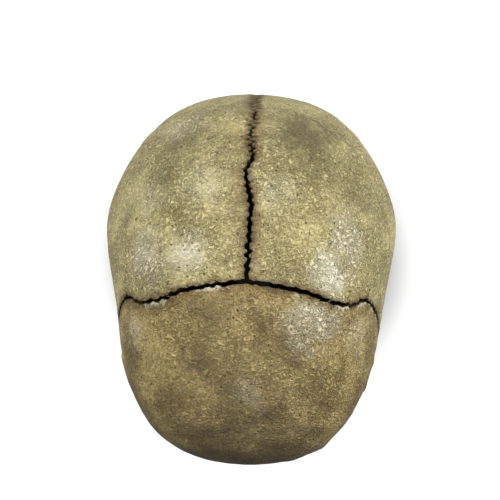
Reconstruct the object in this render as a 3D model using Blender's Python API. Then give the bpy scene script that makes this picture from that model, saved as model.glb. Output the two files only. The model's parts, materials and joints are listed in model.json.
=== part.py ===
"""Human skull: twenty-two separate bones and thirty-two teeth, with a jaw that swings on its condyles.

Sizes are in metres. The skull is drawn in the frame that anatomists use: the origin lies midway between
the ear openings, X runs to the skull's left, Y to the back of the head and Z up. At the end it is laid
back on the table, on the lower border of the jaw and the back of the head, as a loose skull comes to rest.
"""

import math

import bmesh
import bpy
import numpy as np
from mathutils import Matrix, Vector

MM = 0.001

# Braincase
CRANIAL_LENGTH = 180 * MM  # brow to the back of the head
CRANIAL_BREADTH = 137 * MM  # over the parietal bones
EAR_HEIGHT = 120 * MM  # ear openings to the crown
VAULT_WALL = 5.5 * MM
BASE_WALL = 3.5 * MM
FORAMEN_BREADTH = CRANIAL_BREADTH * 0.219
FORAMEN_LENGTH = CRANIAL_LENGTH * 0.2
EAR_CANAL = 8 * MM

# Sutures
SUTURE_GAP = 0.7 * MM
JOINT_GAP = 0.4 * MM  # between bones of the face and base
FACE_GAP = 0.7 * MM  # between the face and the braincase
SEAT_GAP = 0.3 * MM  # between a tooth and its socket
SERRATION_PITCH = 7.0 * MM
SERRATION_DEPTH = 1.5 * MM
PLAIN_STEP = 11.0 * MM

# Face
FACE_HEIGHT = 72 * MM  # nasion to the upper gum line
FACE_BREADTH = CRANIAL_BREADTH * 0.949  # over the cheek arches
FACE_DEPTH = CRANIAL_LENGTH * 0.5056  # ear openings to the upper gum line
NASION_HEIGHT = EAR_HEIGHT * 0.2583  # above the ear openings
BONE_WALL = 2.6 * MM  # thin walls of the orbits
ORBIT_BREADTH = FACE_BREADTH * 0.3
ORBIT_HEIGHT = FACE_HEIGHT * 0.472
INTERORBITAL_BREADTH = FACE_BREADTH * 0.177
ORBIT_DROP_SHARE = 0.44  # nasion to the middle of the orbit
ORBIT_TILT = math.radians(7)
ORBIT_SQUARENESS = 0.8
ORBIT_TAPER = 0.62
ORBIT_FORWARD = FACE_DEPTH * 0.934  # inner edge of the rim
RIM_SETBACK = FACE_DEPTH * 0.165  # of its outer edge
BROW_OVERHANG = 3 * MM
RIM_THICKNESS = 6.2 * MM
RIM_SEAT_SHARE = 0.42
NOSE_BREADTH = FACE_BREADTH * 0.1923
NOSE_HEIGHT = FACE_HEIGHT * 0.708  # nasion to the floor of the nose
NOSE_TAPER_SHARES = (1.22, 0.60)
NOSE_SQUARENESS = 0.7
CHEEK_JOINT_SHARE = 0.08  # of the face height, below the nasion
GUM_THICKNESS = 12.5 * MM
GUM_HEIGHT = 19 * MM
GUM_NECK_SHARES = (0.96, 0.30)
NASAL_LENGTH = FACE_HEIGHT * 0.264  # nasion to the free end of the nasal bones
NOSE_ROOF_SHARE = 0.4306  # of the face height, nasion to the roof of the nose's rear
SEPTUM_SHARE = 0.479  # of the face height, nasion to the foot of the ethmoid's blade
PALATE_THICKNESS = 5 * MM

# Lower jaw
CONDYLE_BREADTH = FACE_BREADTH * 0.146
CONDYLE_DEPTH = 10 * MM
BICONDYLAR_BREADTH = FACE_BREADTH * 0.9077
CONDYLE_FORWARD = FACE_DEPTH * 0.1429  # from the ear openings
CONDYLE_DROP = FACE_HEIGHT * 0.4444 - NASION_HEIGHT
JAW_CLEARANCE = 0.7 * MM
SWING_SHARE = 0.12  # extra room for the jaw's neck, of the depth below the condyle

# Teeth
MOLAR_WIDTH = 10 * MM  # first upper molar, along the arch
CROWN_HEIGHT = 10 * MM  # first upper incisor
ROOT_LENGTH = 11 * MM
TOOTH_GAP = 0.35 * MM
BITE_GAP = 0.5 * MM
UPPER_ARCH_BREADTH = FACE_BREADTH * 0.477  # between the crown centres of the last molars
UPPER_ARCH_LENGTH = FACE_DEPTH * 0.6154
LOWER_ARCH_BREADTH = FACE_BREADTH * 0.4538
LOWER_ARCH_LENGTH = FACE_DEPTH * 0.5824
ARCH_CENTRE_FORWARD = FACE_DEPTH * 0.3956
BITE_DROP = FACE_HEIGHT - NASION_HEIGHT + CROWN_HEIGHT  # incisor edges, below the ear openings
BITE_SLOPE_SHARE = 0.14
CUSP_DEPTH = 1.2 * MM
TOOTH_LEAN_SHARE = 0.10
SOCKET_FLARE = 1.12

# Rest
REST_CUT = 0.8 * MM

# Making
SWELL = 10 * MM  # unit of the balls that the forms are stretched over
BONE_VOXEL = 1.5 * MM
FACE_VOXEL = 1.3 * MM
SMOOTHING = 0.5
BRAINCASE_FACETS = 1550
FACE_FACETS = 1150
JAW_FACETS = 650
ARCH_FACETS = 120
RING = 12

CONE_SHARES = (0.2, 2.4)
BONE_COLOUR = (0.42, 0.36, 0.20)
BONE_ROUGHNESS = 0.55
TOOTH_COLOUR = (0.62, 0.56, 0.38)
TOOTH_ROUGHNESS = 0.35
SHARP_ANGLE = math.radians(40)
ORBIT_POINTS = 12
ARCH_STEPS = 60
TOOTH_SIDES = 8

HALF_BREADTH = CRANIAL_BREADTH / 2
HALF_LENGTH = CRANIAL_LENGTH / 2
HALF_FACE = FACE_BREADTH / 2

# Shares of half the cranial breadth, half the cranial length and the ear height. Front is minus Y.
MIDLINE_SHARES = {
    "nasion": (0, -0.956, 0.258),
    "glabella": (0, -0.989, 0.342),
    "metopion": (0, -1.011, 0.550),
    "upper_forehead": (0, -0.828, 0.767),
    "bregma": (0, -0.222, 0.975),
    "vertex": (0, 0.133, 1.000),
    "obelion": (0, 0.578, 0.875),
    "lambda": (0, 0.917, 0.550),
    "occipital_plane": (0, 0.973, 0.433),
    "opisthocranion": (0, 0.991, 0.300),
    "inion": (0, 0.889, 0.067),
    "opisthion": (0, 0.400, -0.150),
    "basion": (0, -0.022, -0.142),
    "clivus": (0, -0.311, 0.000),
    "ethmoid_roof": (0, -0.667, 0.190),
}
SIDE_SHARES = {
    "frontal_eminence": (0.418, -0.927, 0.633),
    "lower_forehead": (0.333, -0.941, 0.433),
    "frontotemporale": (0.654, -0.736, 0.417),
    "temple": (0.761, -0.629, 0.550),
    "stephanion": (0.788, -0.288, 0.700),
    "pterion": (0.842, -0.450, 0.350),
    "upper_frontal": (0.508, -0.593, 0.817),
    "upper_parietal": (0.549, -0.088, 0.925),
    "rear_parietal": (0.531, 0.431, 0.842),
    "euryon": (0.994, 0.228, 0.517),
    "parietal_eminence": (0.771, 0.324, 0.733),
    "squama": (0.953, -0.021, 0.350),
    "porion": (0.861, 0.022, 0.042),
    "asterion": (0.788, 0.556, 0.167),
    "occipital_side": (0.626, 0.834, 0.367),
    "cerebellar_swelling": (0.467, 0.600, -0.145),
    "base_side": (0.409, 0.222, -0.158),
    "middle_fossa": (0.526, -0.356, 0.017),
    "orbit_roof": (0.438, -0.733, 0.270),
}
# Places that each suture passes, in the same shares, on the left side.
SUTURE_SHARES = {
    "sagittal": [(0.02, -0.21, 0.975), (0.03, 0.03, 1.0), (0.035, 0.13, 1.0), (0.0, 0.28, 0.98),
                 (0.04, 0.36, 0.96), (0.02, 0.50, 0.92), (0.04, 0.68, 0.81), (0.02, 0.92, 0.55)],
    "coronal": [(0.02, -0.21, 0.975), (0.20, -0.23, 0.968), (0.35, -0.25, 0.95), (0.50, -0.28, 0.90),
                (0.62, -0.285, 0.85), (0.73, -0.25, 0.78), (0.82, -0.30, 0.62), (0.86, -0.38, 0.48),
                (0.85, -0.42, 0.38)],
    "lambdoid": [(0.02, 0.92, 0.55), (0.25, 0.92, 0.48), (0.50, 0.85, 0.36), (0.68, 0.72, 0.25),
                 (0.80, 0.56, 0.16)],
    "squamosal": [(0.85, -0.42, 0.38), (0.93, -0.24, 0.42), (0.97, 0.0, 0.44), (0.98, 0.22, 0.36),
                  (0.94, 0.36, 0.20), (0.80, 0.56, 0.16)],
    "mastoid": [(0.80, 0.56, 0.16), (0.66, 0.42, -0.06), (0.47, 0.20, -0.15), (0.34, 0.04, -0.14)],
    "petrous": [(0.34, 0.04, -0.14), (0.22, -0.12, -0.11), (0.15, -0.21, -0.06)],
    "petrosphenoid": [(0.15, -0.21, -0.06), (0.33, -0.16, -0.07), (0.45, -0.13, -0.06)],
    "sphenosquamous": [(0.45, -0.13, -0.06), (0.62, -0.27, -0.01), (0.80, -0.33, 0.16),
                       (0.86, -0.37, 0.30), (0.85, -0.42, 0.38)],
    "sphenofrontal": [(0.85, -0.42, 0.38), (0.70, -0.50, 0.31), (0.45, -0.46, 0.24), (0.22, -0.45, 0.20),
                      (0.0, -0.46, 0.19)],
    "clival": [(0.15, -0.21, -0.06), (0.0, -0.22, -0.05)],
}
SERRATED = ("sagittal", "coronal", "lambdoid")
CENTRE_SHARES = (0, -0.056, 0.375)

# Shares of half the face breadth, the face depth and the face height below the nasion.
ORBIT_APEX_SHARE = (0.26, 0.42, 0.17)
GUM_SHARES = (-0.98, -0.85, -0.7, -0.5, -0.25, 0, 0.25, 0.5, 0.7, 0.85, 0.98)

# Rounded forms. Each is a skin stretched over balls: x, forward and down as in the shares above, and
# radius as a share of the swell. Drawn on the left side.
FORM_SHARES = {
    "brow": [
        [(0, 0.945, -0.097, 0.6), (0.154, 0.956, -0.104, 0.55), (0.215, 0.934, -0.035, 0.35),
         (0.185, 0.89, -0.319, 0.7), (0, 0.896, -0.319, 0.7)],
        [(0.154, 0.956, -0.104, 0.55), (0.308, 0.951, -0.125, 0.5), (0.215, 0.934, -0.035, 0.35),
         (0.369, 0.94, -0.083, 0.34), (0.185, 0.89, -0.319, 0.7), (0.4, 0.841, -0.319, 0.7)],
        [(0.308, 0.951, -0.125, 0.5), (0.369, 0.94, -0.083, 0.34), (0.523, 0.907, -0.083, 0.34),
         (0.4, 0.841, -0.319, 0.7), (0.585, 0.742, -0.278, 0.7)],
        [(0.523, 0.907, -0.083, 0.34), (0.646, 0.852, -0.035, 0.36), (0.585, 0.742, -0.278, 0.7),
         (0.669, 0.681, -0.181, 0.6)],
        [(0.646, 0.852, -0.035, 0.36), (0.738, 0.791, 0.049, 0.38), (0.669, 0.681, -0.181, 0.6),
         (0.708, 0.692, -0.042, 0.45)],
        [(0.738, 0.791, 0.049, 0.38), (0.769, 0.758, 0.181, 0.36), (0.715, 0.692, 0.014, 0.36),
         (0.723, 0.681, 0.153, 0.3)],
    ],
    "temple_line": [
        [(0.738, 0.758, 0.014, 0.34), (0.677, 0.692, -0.139, 0.3)],
        [(0.677, 0.692, -0.139, 0.3), (0.717, 0.679, -0.292, 0.29)],
        [(0.717, 0.679, -0.292, 0.29), (0.778, 0.619, -0.444, 0.29)],
        [(0.778, 0.619, -0.444, 0.29), (0.812, 0.496, -0.575, 0.28)],
    ],
    "arch_root": [
        [(0.915, -0.066, 0.333, 0.35), (0.938, 0.066, 0.361, 0.42), (0.892, 0.066, 0.389, 0.4)],
        [(0.938, 0.066, 0.361, 0.42), (0.962, 0.198, 0.41, 0.4), (0.862, 0.198, 0.403, 0.4)],
        [(0.962, 0.198, 0.41, 0.4), (0.992, 0.33, 0.451, 0.32), (0.985, 0.297, 0.472, 0.3)],
        [(0.915, -0.066, 0.333, 0.35), (0.9, -0.242, 0.264, 0.3), (0.877, -0.22, 0.292, 0.4)],
    ],
    "mastoid": [
        [(0.846, -0.077, 0.403, 0.75), (0.831, -0.308, 0.375, 0.85), (0.792, -0.242, 0.556, 0.8),
         (0.792, -0.132, 0.583, 0.7), (0.777, -0.126, 0.743, 0.5)],
        [(0.831, -0.05, 0.458, 0.35), (0.815, 0.0, 0.486, 0.26), (0.708, -0.006, 0.514, 0.26),
         (0.708, -0.04, 0.528, 0.3)],
    ],
    "jaw_socket": [
        [(0.631, 0.253, 0.444, 0.4), (0.908, 0.247, 0.438, 0.42), (0.923, 0.275, 0.417, 0.35),
         (0.677, 0.308, 0.403, 0.4)],
        [(0.631, 0.143, 0.361, 0.4), (0.892, 0.143, 0.361, 0.4), (0.754, 0.044, 0.389, 0.4),
         (0.754, 0.231, 0.389, 0.4)],
    ],
    "neck_knuckle": [
        [(0.185, 0.055, 0.708, 0.42), (0.231, -0.011, 0.736, 0.46), (0.3, -0.11, 0.701, 0.46),
         (0.246, -0.033, 0.639, 0.6)],
    ],
    "skull_base": [
        [(-0.138, 0.022, 0.611, 0.5), (0.138, 0.022, 0.611, 0.5), (-0.108, 0.297, 0.431, 0.6),
         (0.108, 0.297, 0.431, 0.6)],
        [(-0.108, 0.297, 0.431, 0.6), (0.108, 0.297, 0.431, 0.6), (-0.138, 0.484, 0.319, 0.7),
         (0.138, 0.484, 0.319, 0.7), (0, 0.33, 0.319, 0.6)],
        [(0.308, 0.088, 0.597, 0.4), (0.523, -0.088, 0.597, 0.5), (0.338, -0.022, 0.611, 0.5),
         (0.185, 0.198, 0.542, 0.4)],
    ],
    "wing": [
        [(0.185, 0.396, 0.431, 0.36), (0.2, 0.495, 0.444, 0.3), (0.185, 0.489, 0.806, 0.19),
         (0.177, 0.418, 0.792, 0.19), (0.177, 0.352, 0.542, 0.2)],
        [(0.215, 0.418, 0.403, 0.36), (0.223, 0.5, 0.458, 0.3), (0.269, 0.473, 0.778, 0.19),
         (0.338, 0.357, 0.708, 0.18), (0.308, 0.33, 0.486, 0.2)],
    ],
    "occiput": [
        [(0, -0.853, 0.312, 0.45), (0.092, -0.846, 0.312, 0.36), (-0.092, -0.846, 0.312, 0.36),
         (0, -0.802, 0.417, 0.4)],
    ],
    "neck_line": [
        [(0.092, -0.846, 0.312, 0.36), (0.38, -0.837, 0.292, 0.3)],
        [(0.38, -0.837, 0.292, 0.3), (0.58, -0.759, 0.286, 0.3)],
        [(0.58, -0.759, 0.286, 0.3), (0.751, -0.613, 0.215, 0.3)],
    ],
    "orbit_margin": [
        [(0.162, 0.929, 0.042, 0.28), (0.192, 0.934, 0.222, 0.3), (0.231, 0.932, 0.361, 0.3)],
        [(0.231, 0.932, 0.361, 0.3), (0.292, 0.926, 0.458, 0.3), (0.415, 0.907, 0.5, 0.32)],
        [(0.415, 0.907, 0.5, 0.32), (0.554, 0.868, 0.5, 0.34), (0.662, 0.824, 0.472, 0.36)],
    ],
    "upper_jaw": [
        [(0.146, 0.923, 0.028, 0.26), (0.162, 0.94, 0.236, 0.34), (0.231, 0.932, 0.361, 0.3),
         (0.208, 0.973, 0.431, 0.26), (0.143, 1.005, 0.278, 0.22)],
        [(0.208, 0.973, 0.431, 0.26), (0.231, 0.932, 0.361, 0.3), (0.292, 0.926, 0.458, 0.3),
         (0.246, 0.951, 0.597, 0.3), (0.385, 0.885, 0.625, 0.4)],
        [(0.292, 0.926, 0.458, 0.3), (0.415, 0.907, 0.5, 0.32), (0.385, 0.885, 0.625, 0.4),
         (0.508, 0.835, 0.653, 0.4)],
        [(0.415, 0.907, 0.5, 0.32), (0.615, 0.846, 0.486, 0.34), (0.508, 0.835, 0.653, 0.4),
         (0.646, 0.791, 0.667, 0.4)],
        [(0.646, 0.791, 0.667, 0.4), (0.508, 0.835, 0.653, 0.4), (0.569, 0.725, 0.764, 0.45),
         (0.462, 0.747, 0.819, 0.5), (0.615, 0.725, 0.542, 0.5)],
        [(0.246, 0.951, 0.597, 0.3), (0.385, 0.885, 0.625, 0.4), (0.231, 0.945, 0.764, 0.45),
         (0.369, 0.857, 0.819, 0.5)],
        [(0.385, 0.885, 0.625, 0.4), (0.508, 0.835, 0.653, 0.4), (0.369, 0.857, 0.819, 0.5),
         (0.462, 0.747, 0.819, 0.5)],
        [(0.4, 0.791, 0.542, 0.7), (0.415, 0.571, 0.542, 0.7), (0.369, 0.791, 0.736, 0.8),
         (0.4, 0.549, 0.736, 0.75), (0.492, 0.725, 0.681, 0.6)],
        [(0.4, 0.549, 0.736, 0.7), (0.415, 0.495, 0.847, 0.55), (0.385, 0.527, 0.597, 0.6)],
        [(0.262, 0.901, 0.653, 0.35), (0.208, 0.923, 0.472, 0.3), (0.262, 0.484, 0.667, 0.35),
         (0.185, 0.484, 0.472, 0.3)],
    ],
    "nose_spine": [
        [(-0.054, 0.978, 0.75, 0.25), (0.054, 0.978, 0.75, 0.25), (0, 1.055, 0.729, 0.16)],
        [(-0.185, 0.945, 0.764, 0.3), (0.185, 0.945, 0.764, 0.3), (-0.138, 0.978, 0.847, 0.35),
         (0.138, 0.978, 0.847, 0.35)],
    ],
    "cheek": [
        [(0.662, 0.824, 0.472, 0.36), (0.785, 0.758, 0.472, 0.38), (0.831, 0.692, 0.528, 0.4),
         (0.723, 0.764, 0.681, 0.42), (0.631, 0.791, 0.681, 0.42), (0.815, 0.67, 0.639, 0.38)],
        [(0.785, 0.758, 0.472, 0.38), (0.831, 0.692, 0.528, 0.4), (0.792, 0.736, 0.319, 0.34),
         (0.808, 0.687, 0.319, 0.3)],
        [(0.792, 0.736, 0.319, 0.34), (0.808, 0.687, 0.319, 0.3), (0.769, 0.769, 0.069, 0.36),
         (0.777, 0.714, 0.069, 0.32)],
        [(0.831, 0.692, 0.528, 0.4), (0.815, 0.67, 0.639, 0.38), (0.915, 0.582, 0.514, 0.32),
         (0.915, 0.571, 0.59, 0.3)],
    ],
    "nose_bridge": [
        [(0.028, 0.94, 0, 0.22), (0.092, 0.929, 0.007, 0.24), (0.108, 0.945, 0.139, 0.2),
         (0.025, 0.973, 0.125, 0.2), (0.105, 1, 0.264, 0.18), (0.025, 1.055, 0.271, 0.18)],
    ],
    "arch": [
        [(0.831, 0.692, 0.528, 0.4), (0.815, 0.67, 0.639, 0.38), (0.915, 0.582, 0.514, 0.32),
         (0.915, 0.571, 0.59, 0.3)],
        [(0.915, 0.582, 0.514, 0.32), (0.915, 0.571, 0.59, 0.3), (0.985, 0.462, 0.493, 0.3),
         (0.985, 0.451, 0.549, 0.28)],
        [(0.985, 0.462, 0.493, 0.3), (0.985, 0.451, 0.549, 0.28), (1, 0.33, 0.465, 0.3),
         (1, 0.33, 0.507, 0.28)],
        [(1, 0.33, 0.465, 0.3), (1, 0.33, 0.507, 0.28), (0.985, 0.198, 0.431, 0.34),
         (0.985, 0.198, 0.458, 0.32)],
    ],
    "jaw_body": [
        [(0, 0.912, 1.347, 0.46), (0, 0.918, 1.576, 0.5), (0.185, 0.901, 1.347, 0.48),
         (0.2, 0.874, 1.583, 0.5)],
        [(0.185, 0.901, 1.347, 0.48), (0.2, 0.874, 1.583, 0.5), (0.308, 0.841, 1.333, 0.5),
         (0.369, 0.775, 1.562, 0.5)],
        [(0.308, 0.841, 1.333, 0.5), (0.369, 0.775, 1.562, 0.5), (0.4, 0.736, 1.306, 0.52),
         (0.508, 0.604, 1.507, 0.5)],
        [(0.4, 0.736, 1.306, 0.52), (0.508, 0.604, 1.507, 0.5), (0.462, 0.582, 1.264, 0.54),
         (0.6, 0.451, 1.431, 0.48)],
        [(0.462, 0.582, 1.264, 0.54), (0.6, 0.451, 1.431, 0.48), (0.523, 0.451, 1.208, 0.52),
         (0.677, 0.308, 1.319, 0.42)],
        [(0.523, 0.451, 1.208, 0.52), (0.677, 0.308, 1.319, 0.42), (0.662, 0.396, 1.069, 0.4),
         (0.723, 0.209, 1.194, 0.4)],
    ],
    "jaw_chin": [
        [(0, 0.951, 1.528, 0.42), (0.138, 0.929, 1.59, 0.44), (-0.138, 0.929, 1.59, 0.44),
         (0, 0.929, 1.417, 0.34)],
    ],
    "jaw_branch": [
        [(0.723, 0.198, 1.188, 0.42), (0.731, 0.176, 0.875, 0.34), (0.646, 0.473, 1.083, 0.4),
         (0.708, 0.456, 0.806, 0.32)],
        [(0.731, 0.176, 0.875, 0.34), (0.72, 0.319, 0.778, 0.28), (0.708, 0.456, 0.806, 0.32)],
        [(0.731, 0.176, 0.875, 0.34), (0.72, 0.286, 0.819, 0.28), (0.738, 0.17, 0.611, 0.32),
         (0.743, 0.148, 0.528, 0.38)],
        [(0.708, 0.456, 0.806, 0.32), (0.72, 0.308, 0.792, 0.28), (0.715, 0.44, 0.597, 0.26),
         (0.715, 0.363, 0.667, 0.24)],
        [(0.715, 0.44, 0.597, 0.26), (0.715, 0.363, 0.667, 0.24), (0.723, 0.423, 0.417, 0.19)],
        [(0.715, 0.146, 0.521, 0.3), (0.808, 0.146, 0.507, 0.3), (0.743, 0.159, 0.625, 0.3)],
    ],
}

# Width and depth as shares of the first molar's width, height as a share of the first incisor's, and cusps.
TOOTH_KINDS = ("central_incisor", "lateral_incisor", "canine", "first_premolar", "second_premolar",
               "first_molar", "second_molar", "third_molar")
FRONT_TEETH = TOOTH_KINDS[:3]
TOOTH_SHARES = {
    ("upper", "central_incisor"): (0.85, 0.70, 1.05, 0), ("upper", "lateral_incisor"): (0.65, 0.62, 0.95, 0),
    ("upper", "canine"): (0.75, 0.80, 1.05, 1), ("upper", "first_premolar"): (0.70, 0.90, 0.85, 2),
    ("upper", "second_premolar"): (0.70, 0.90, 0.80, 2), ("upper", "first_molar"): (1.00, 1.10, 0.75, 4),
    ("upper", "second_molar"): (0.95, 1.10, 0.70, 4), ("upper", "third_molar"): (0.85, 1.00, 0.65, 4),
    ("lower", "central_incisor"): (0.50, 0.60, 0.90, 0), ("lower", "lateral_incisor"): (0.55, 0.64, 0.92, 0),
    ("lower", "canine"): (0.70, 0.77, 1.00, 1), ("lower", "first_premolar"): (0.70, 0.76, 0.85, 2),
    ("lower", "second_premolar"): (0.72, 0.80, 0.80, 2), ("lower", "first_molar"): (1.10, 1.05, 0.75, 4),
    ("lower", "second_molar"): (1.05, 1.00, 0.72, 4), ("lower", "third_molar"): (1.00, 0.95, 0.70, 4),
}


def spot(shares, side=1):
    """A place on the braincase."""
    return Vector((side * shares[0] * HALF_BREADTH, shares[1] * HALF_LENGTH, shares[2] * EAR_HEIGHT))


def face(x, forward, down, side=1):
    """A place on the face, from shares."""
    return Vector((side * x * HALF_FACE, -forward * FACE_DEPTH, NASION_HEIGHT - down * FACE_HEIGHT))


CENTRE = spot(CENTRE_SHARES)


def fit_braincase():
    """A smooth radius, as a function of direction, through the landmarks."""
    places = [spot(shares) for shares in MIDLINE_SHARES.values()]
    places += [spot(shares, side) for shares in SIDE_SHARES.values() for side in (1, -1)]
    rays = np.array([place - CENTRE for place in places])
    radii = np.linalg.norm(rays, axis=1)
    rays = rays / radii[:, None]
    count = len(rays)
    bend = np.linalg.norm(rays[:, None] - rays[None], axis=2) ** 3
    tilt = np.c_[np.ones(count), rays]
    system = np.block([[bend, tilt], [tilt.T, np.zeros((4, 4))]])
    weights = np.linalg.solve(system, np.r_[radii, np.zeros(4)])

    def radius(directions):
        directions = np.atleast_2d(np.array(directions, float))
        bends = np.linalg.norm(directions[:, None] - rays[None], axis=2) ** 3
        return bends @ weights[:count] + weights[count] + directions @ weights[count + 1:]

    return radius


BRAINCASE_RADIUS = fit_braincase()


def make_object(name, vertices, faces):
    """A mesh object whose faces all point outwards."""
    mesh = bpy.data.meshes.new(name)
    mesh.from_pydata([tuple(vertex) for vertex in vertices], [], faces)
    work = bmesh.new()
    work.from_mesh(mesh)
    bmesh.ops.recalc_face_normals(work, faces=work.faces)
    work.to_mesh(mesh)
    work.free()
    made = bpy.data.objects.new(name, mesh)
    bpy.context.collection.objects.link(made)
    return made


def settle(thing):
    """Apply the modifiers of an object."""
    view = bpy.context.evaluated_depsgraph_get()
    mesh = bpy.data.meshes.new_from_object(thing.evaluated_get(view))
    thing.modifiers.clear()
    thing.data = mesh
    return thing


def discard(thing):
    bpy.data.objects.remove(thing, do_unlink=True)


def combine(thing, other, operation, keep=False):
    """Cut, keep or add a shape with a Boolean."""
    step = thing.modifiers.new(operation.lower(), "BOOLEAN")
    step.operation = operation
    step.object = other
    # The exact solver empties or folds some of these thin shells. Both meshes are always closed here.
    step.solver = "MANIFOLD"
    settle(thing)
    if not keep:
        discard(other)
    return thing


def copy_of(thing, name):
    twin = thing.copy()
    twin.data = thing.data.copy()
    twin.name = name
    bpy.context.collection.objects.link(twin)
    return twin


def join(name, things):
    """One object that holds several closed shapes."""
    work = bmesh.new()
    for thing in things:
        work.from_mesh(thing.data)
        discard(thing)
    mesh = bpy.data.meshes.new(name)
    work.to_mesh(mesh)
    work.free()
    made = bpy.data.objects.new(name, mesh)
    bpy.context.collection.objects.link(made)
    return made


def grow(thing, distance):
    """Move every face of a shape outwards."""
    step = thing.modifiers.new("grow", "DISPLACE")
    step.mid_level = 0
    step.strength = distance
    return settle(thing)


def largest_body(thing):
    """Drop the crumbs that a cut leaves behind."""
    work = bmesh.new()
    work.from_mesh(thing.data)
    unseen = set(work.faces)
    bodies = []
    while unseen:
        stack = [unseen.pop()]
        body = [stack[0]]
        while stack:
            for edge in stack.pop().edges:
                for face_there in edge.link_faces:
                    if face_there in unseen:
                        unseen.discard(face_there)
                        body.append(face_there)
                        stack.append(face_there)
        bodies.append(body)
    bodies.sort(key=len, reverse=True)
    bmesh.ops.delete(work, geom=[each for body in bodies[1:] for each in body], context="FACES")
    work.to_mesh(thing.data)
    work.free()
    return thing


def ellipsoid(name, centre, radii, turn=0.0):
    """An ellipsoid, turned about the X axis."""
    work = bmesh.new()
    bmesh.ops.create_icosphere(work, subdivisions=3, radius=1)
    frame = Matrix.Translation(centre) @ Matrix.Rotation(turn, 4, "X") @ Matrix.Diagonal((*radii, 1))
    bmesh.ops.transform(work, matrix=frame, verts=work.verts)
    mesh = bpy.data.meshes.new(name)
    work.to_mesh(mesh)
    work.free()
    made = bpy.data.objects.new(name, mesh)
    bpy.context.collection.objects.link(made)
    return made


def form(name, side=1):
    """The rounded shapes of one form, each a skin stretched over a group of balls."""
    shapes = []
    for balls in FORM_SHARES[name]:
        work = bmesh.new()
        for x, forward, down, radius in balls:
            frame = Matrix.Translation(face(x, forward, down, side)) @ Matrix.Scale(radius * SWELL, 4)
            bmesh.ops.create_icosphere(work, subdivisions=2, radius=1, matrix=frame)
        bmesh.ops.delete(work, geom=work.edges[:], context="EDGES_FACES")
        bmesh.ops.convex_hull(work, input=work.verts[:])
        loose = [vertex for vertex in work.verts if not vertex.link_faces]
        bmesh.ops.delete(work, geom=loose, context="VERTS")
        bmesh.ops.recalc_face_normals(work, faces=work.faces)
        mesh = bpy.data.meshes.new(name)
        work.to_mesh(mesh)
        work.free()
        made = bpy.data.objects.new(name, mesh)
        bpy.context.collection.objects.link(made)
        shapes.append(made)
    return shapes


def loft(name, rings):
    """A closed shape through rings that have the same number of points."""
    count = len(rings[0])
    vertices = [vertex for ring in rings for vertex in ring]
    faces = []
    for row in range(len(rings) - 1):
        for place in range(count):
            after = (place + 1) % count
            faces.append((row * count + place, row * count + after,
                          (row + 1) * count + after, (row + 1) * count + place))
    faces.append(tuple(range(count)))
    faces.append(tuple(range((len(rings) - 1) * count, len(rings) * count)))
    return make_object(name, vertices, faces)


def smooth_path(points, parts, closed=False):
    """A smooth curve through the points."""
    count = len(points)
    spans = count if closed else count - 1
    path = []
    for span in range(spans):
        if closed:
            four = [points[(span + step) % count] for step in (-1, 0, 1, 2)]
        else:
            four = [points[min(max(span + step, 0), count - 1)] for step in (-1, 0, 1, 2)]
        for part in range(parts):
            t = part / parts
            before, start, end, after = four
            path.append(0.5 * ((2 * start) + (end - before) * t
                               + (2 * before - 5 * start + 4 * end - after) * t ** 2
                               + (3 * start - before - 3 * end + after) * t ** 3))
    if not closed:
        path.append(points[-1])
    return path


def limb(name, points, widths, heights, up=Vector((0, 0, 1)), parts=4, closed=False):
    """A rounded bar along a smooth path, with its own half width and half height at each point."""
    path = smooth_path([Vector(point) for point in points], parts, closed)
    sizes = smooth_path([Vector((width, height, 0)) for width, height in zip(widths, heights)], parts, closed)
    rings = []
    for place, point in enumerate(path):
        if closed:
            along = path[(place + 1) % len(path)] - path[place - 1]
        else:
            along = path[min(place + 1, len(path) - 1)] - path[max(place - 1, 0)]
        along.normalize()
        across = along.cross(up).normalized()
        lift = across.cross(along).normalized()
        ring = []
        for step in range(RING):
            angle = 2 * math.pi * step / RING
            ring.append(point + across * sizes[place].x * math.cos(angle)
                        + lift * sizes[place].y * math.sin(angle))
        rings.append(ring)
    if not closed:
        return loft(name, rings)
    count = RING
    vertices = [vertex for ring in rings for vertex in ring]
    faces = []
    for row in range(len(rings)):
        next_row = (row + 1) % len(rings)
        for step in range(count):
            after = (step + 1) % count
            faces.append((row * count + step, row * count + after,
                          next_row * count + after, next_row * count + step))
    return make_object(name, vertices, faces)


def block(name, low, high):
    """A box between two corners."""
    work = bmesh.new()
    bmesh.ops.create_cube(work, size=1)
    size = [abs(end - start) for start, end in zip(low, high)]
    middle = (Vector(high) + Vector(low)) / 2
    stretched = Matrix.Translation(middle) @ Matrix.Diagonal((*size, 1))
    bmesh.ops.transform(work, matrix=stretched, verts=work.verts)
    mesh = bpy.data.meshes.new(name)
    work.to_mesh(mesh)
    work.free()
    made = bpy.data.objects.new(name, mesh)
    bpy.context.collection.objects.link(made)
    return made


def plate(name, outline, thickness, side=1, middle=0.0):
    """A flat plate in the plane of symmetry, or beside it, from (forward, up) points."""
    near = [Vector((side * (middle - thickness / 2), -forward, up)) for forward, up in outline]
    far = [Vector((side * (middle + thickness / 2), -forward, up)) for forward, up in outline]
    return loft(name, [near, far])


def cell(name, planes, size):
    """The space behind every one of some planes, each given by a point and an outward normal."""
    work = bmesh.new()
    bmesh.ops.create_cube(work, size=size)
    for point, normal in planes:
        geometry = work.verts[:] + work.edges[:] + work.faces[:]
        cut = bmesh.ops.bisect_plane(work, geom=geometry, dist=0.001 * MM, plane_co=point,
                                     plane_no=normal, clear_outer=True)
        edges = [item for item in cut["geom_cut"] if isinstance(item, bmesh.types.BMEdge)]
        if edges:
            bmesh.ops.edgeloop_fill(work, edges=edges)
    bmesh.ops.recalc_face_normals(work, faces=work.faces)
    mesh = bpy.data.meshes.new(name)
    work.to_mesh(mesh)
    work.free()
    made = bpy.data.objects.new(name, mesh)
    bpy.context.collection.objects.link(made)
    return made


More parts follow.
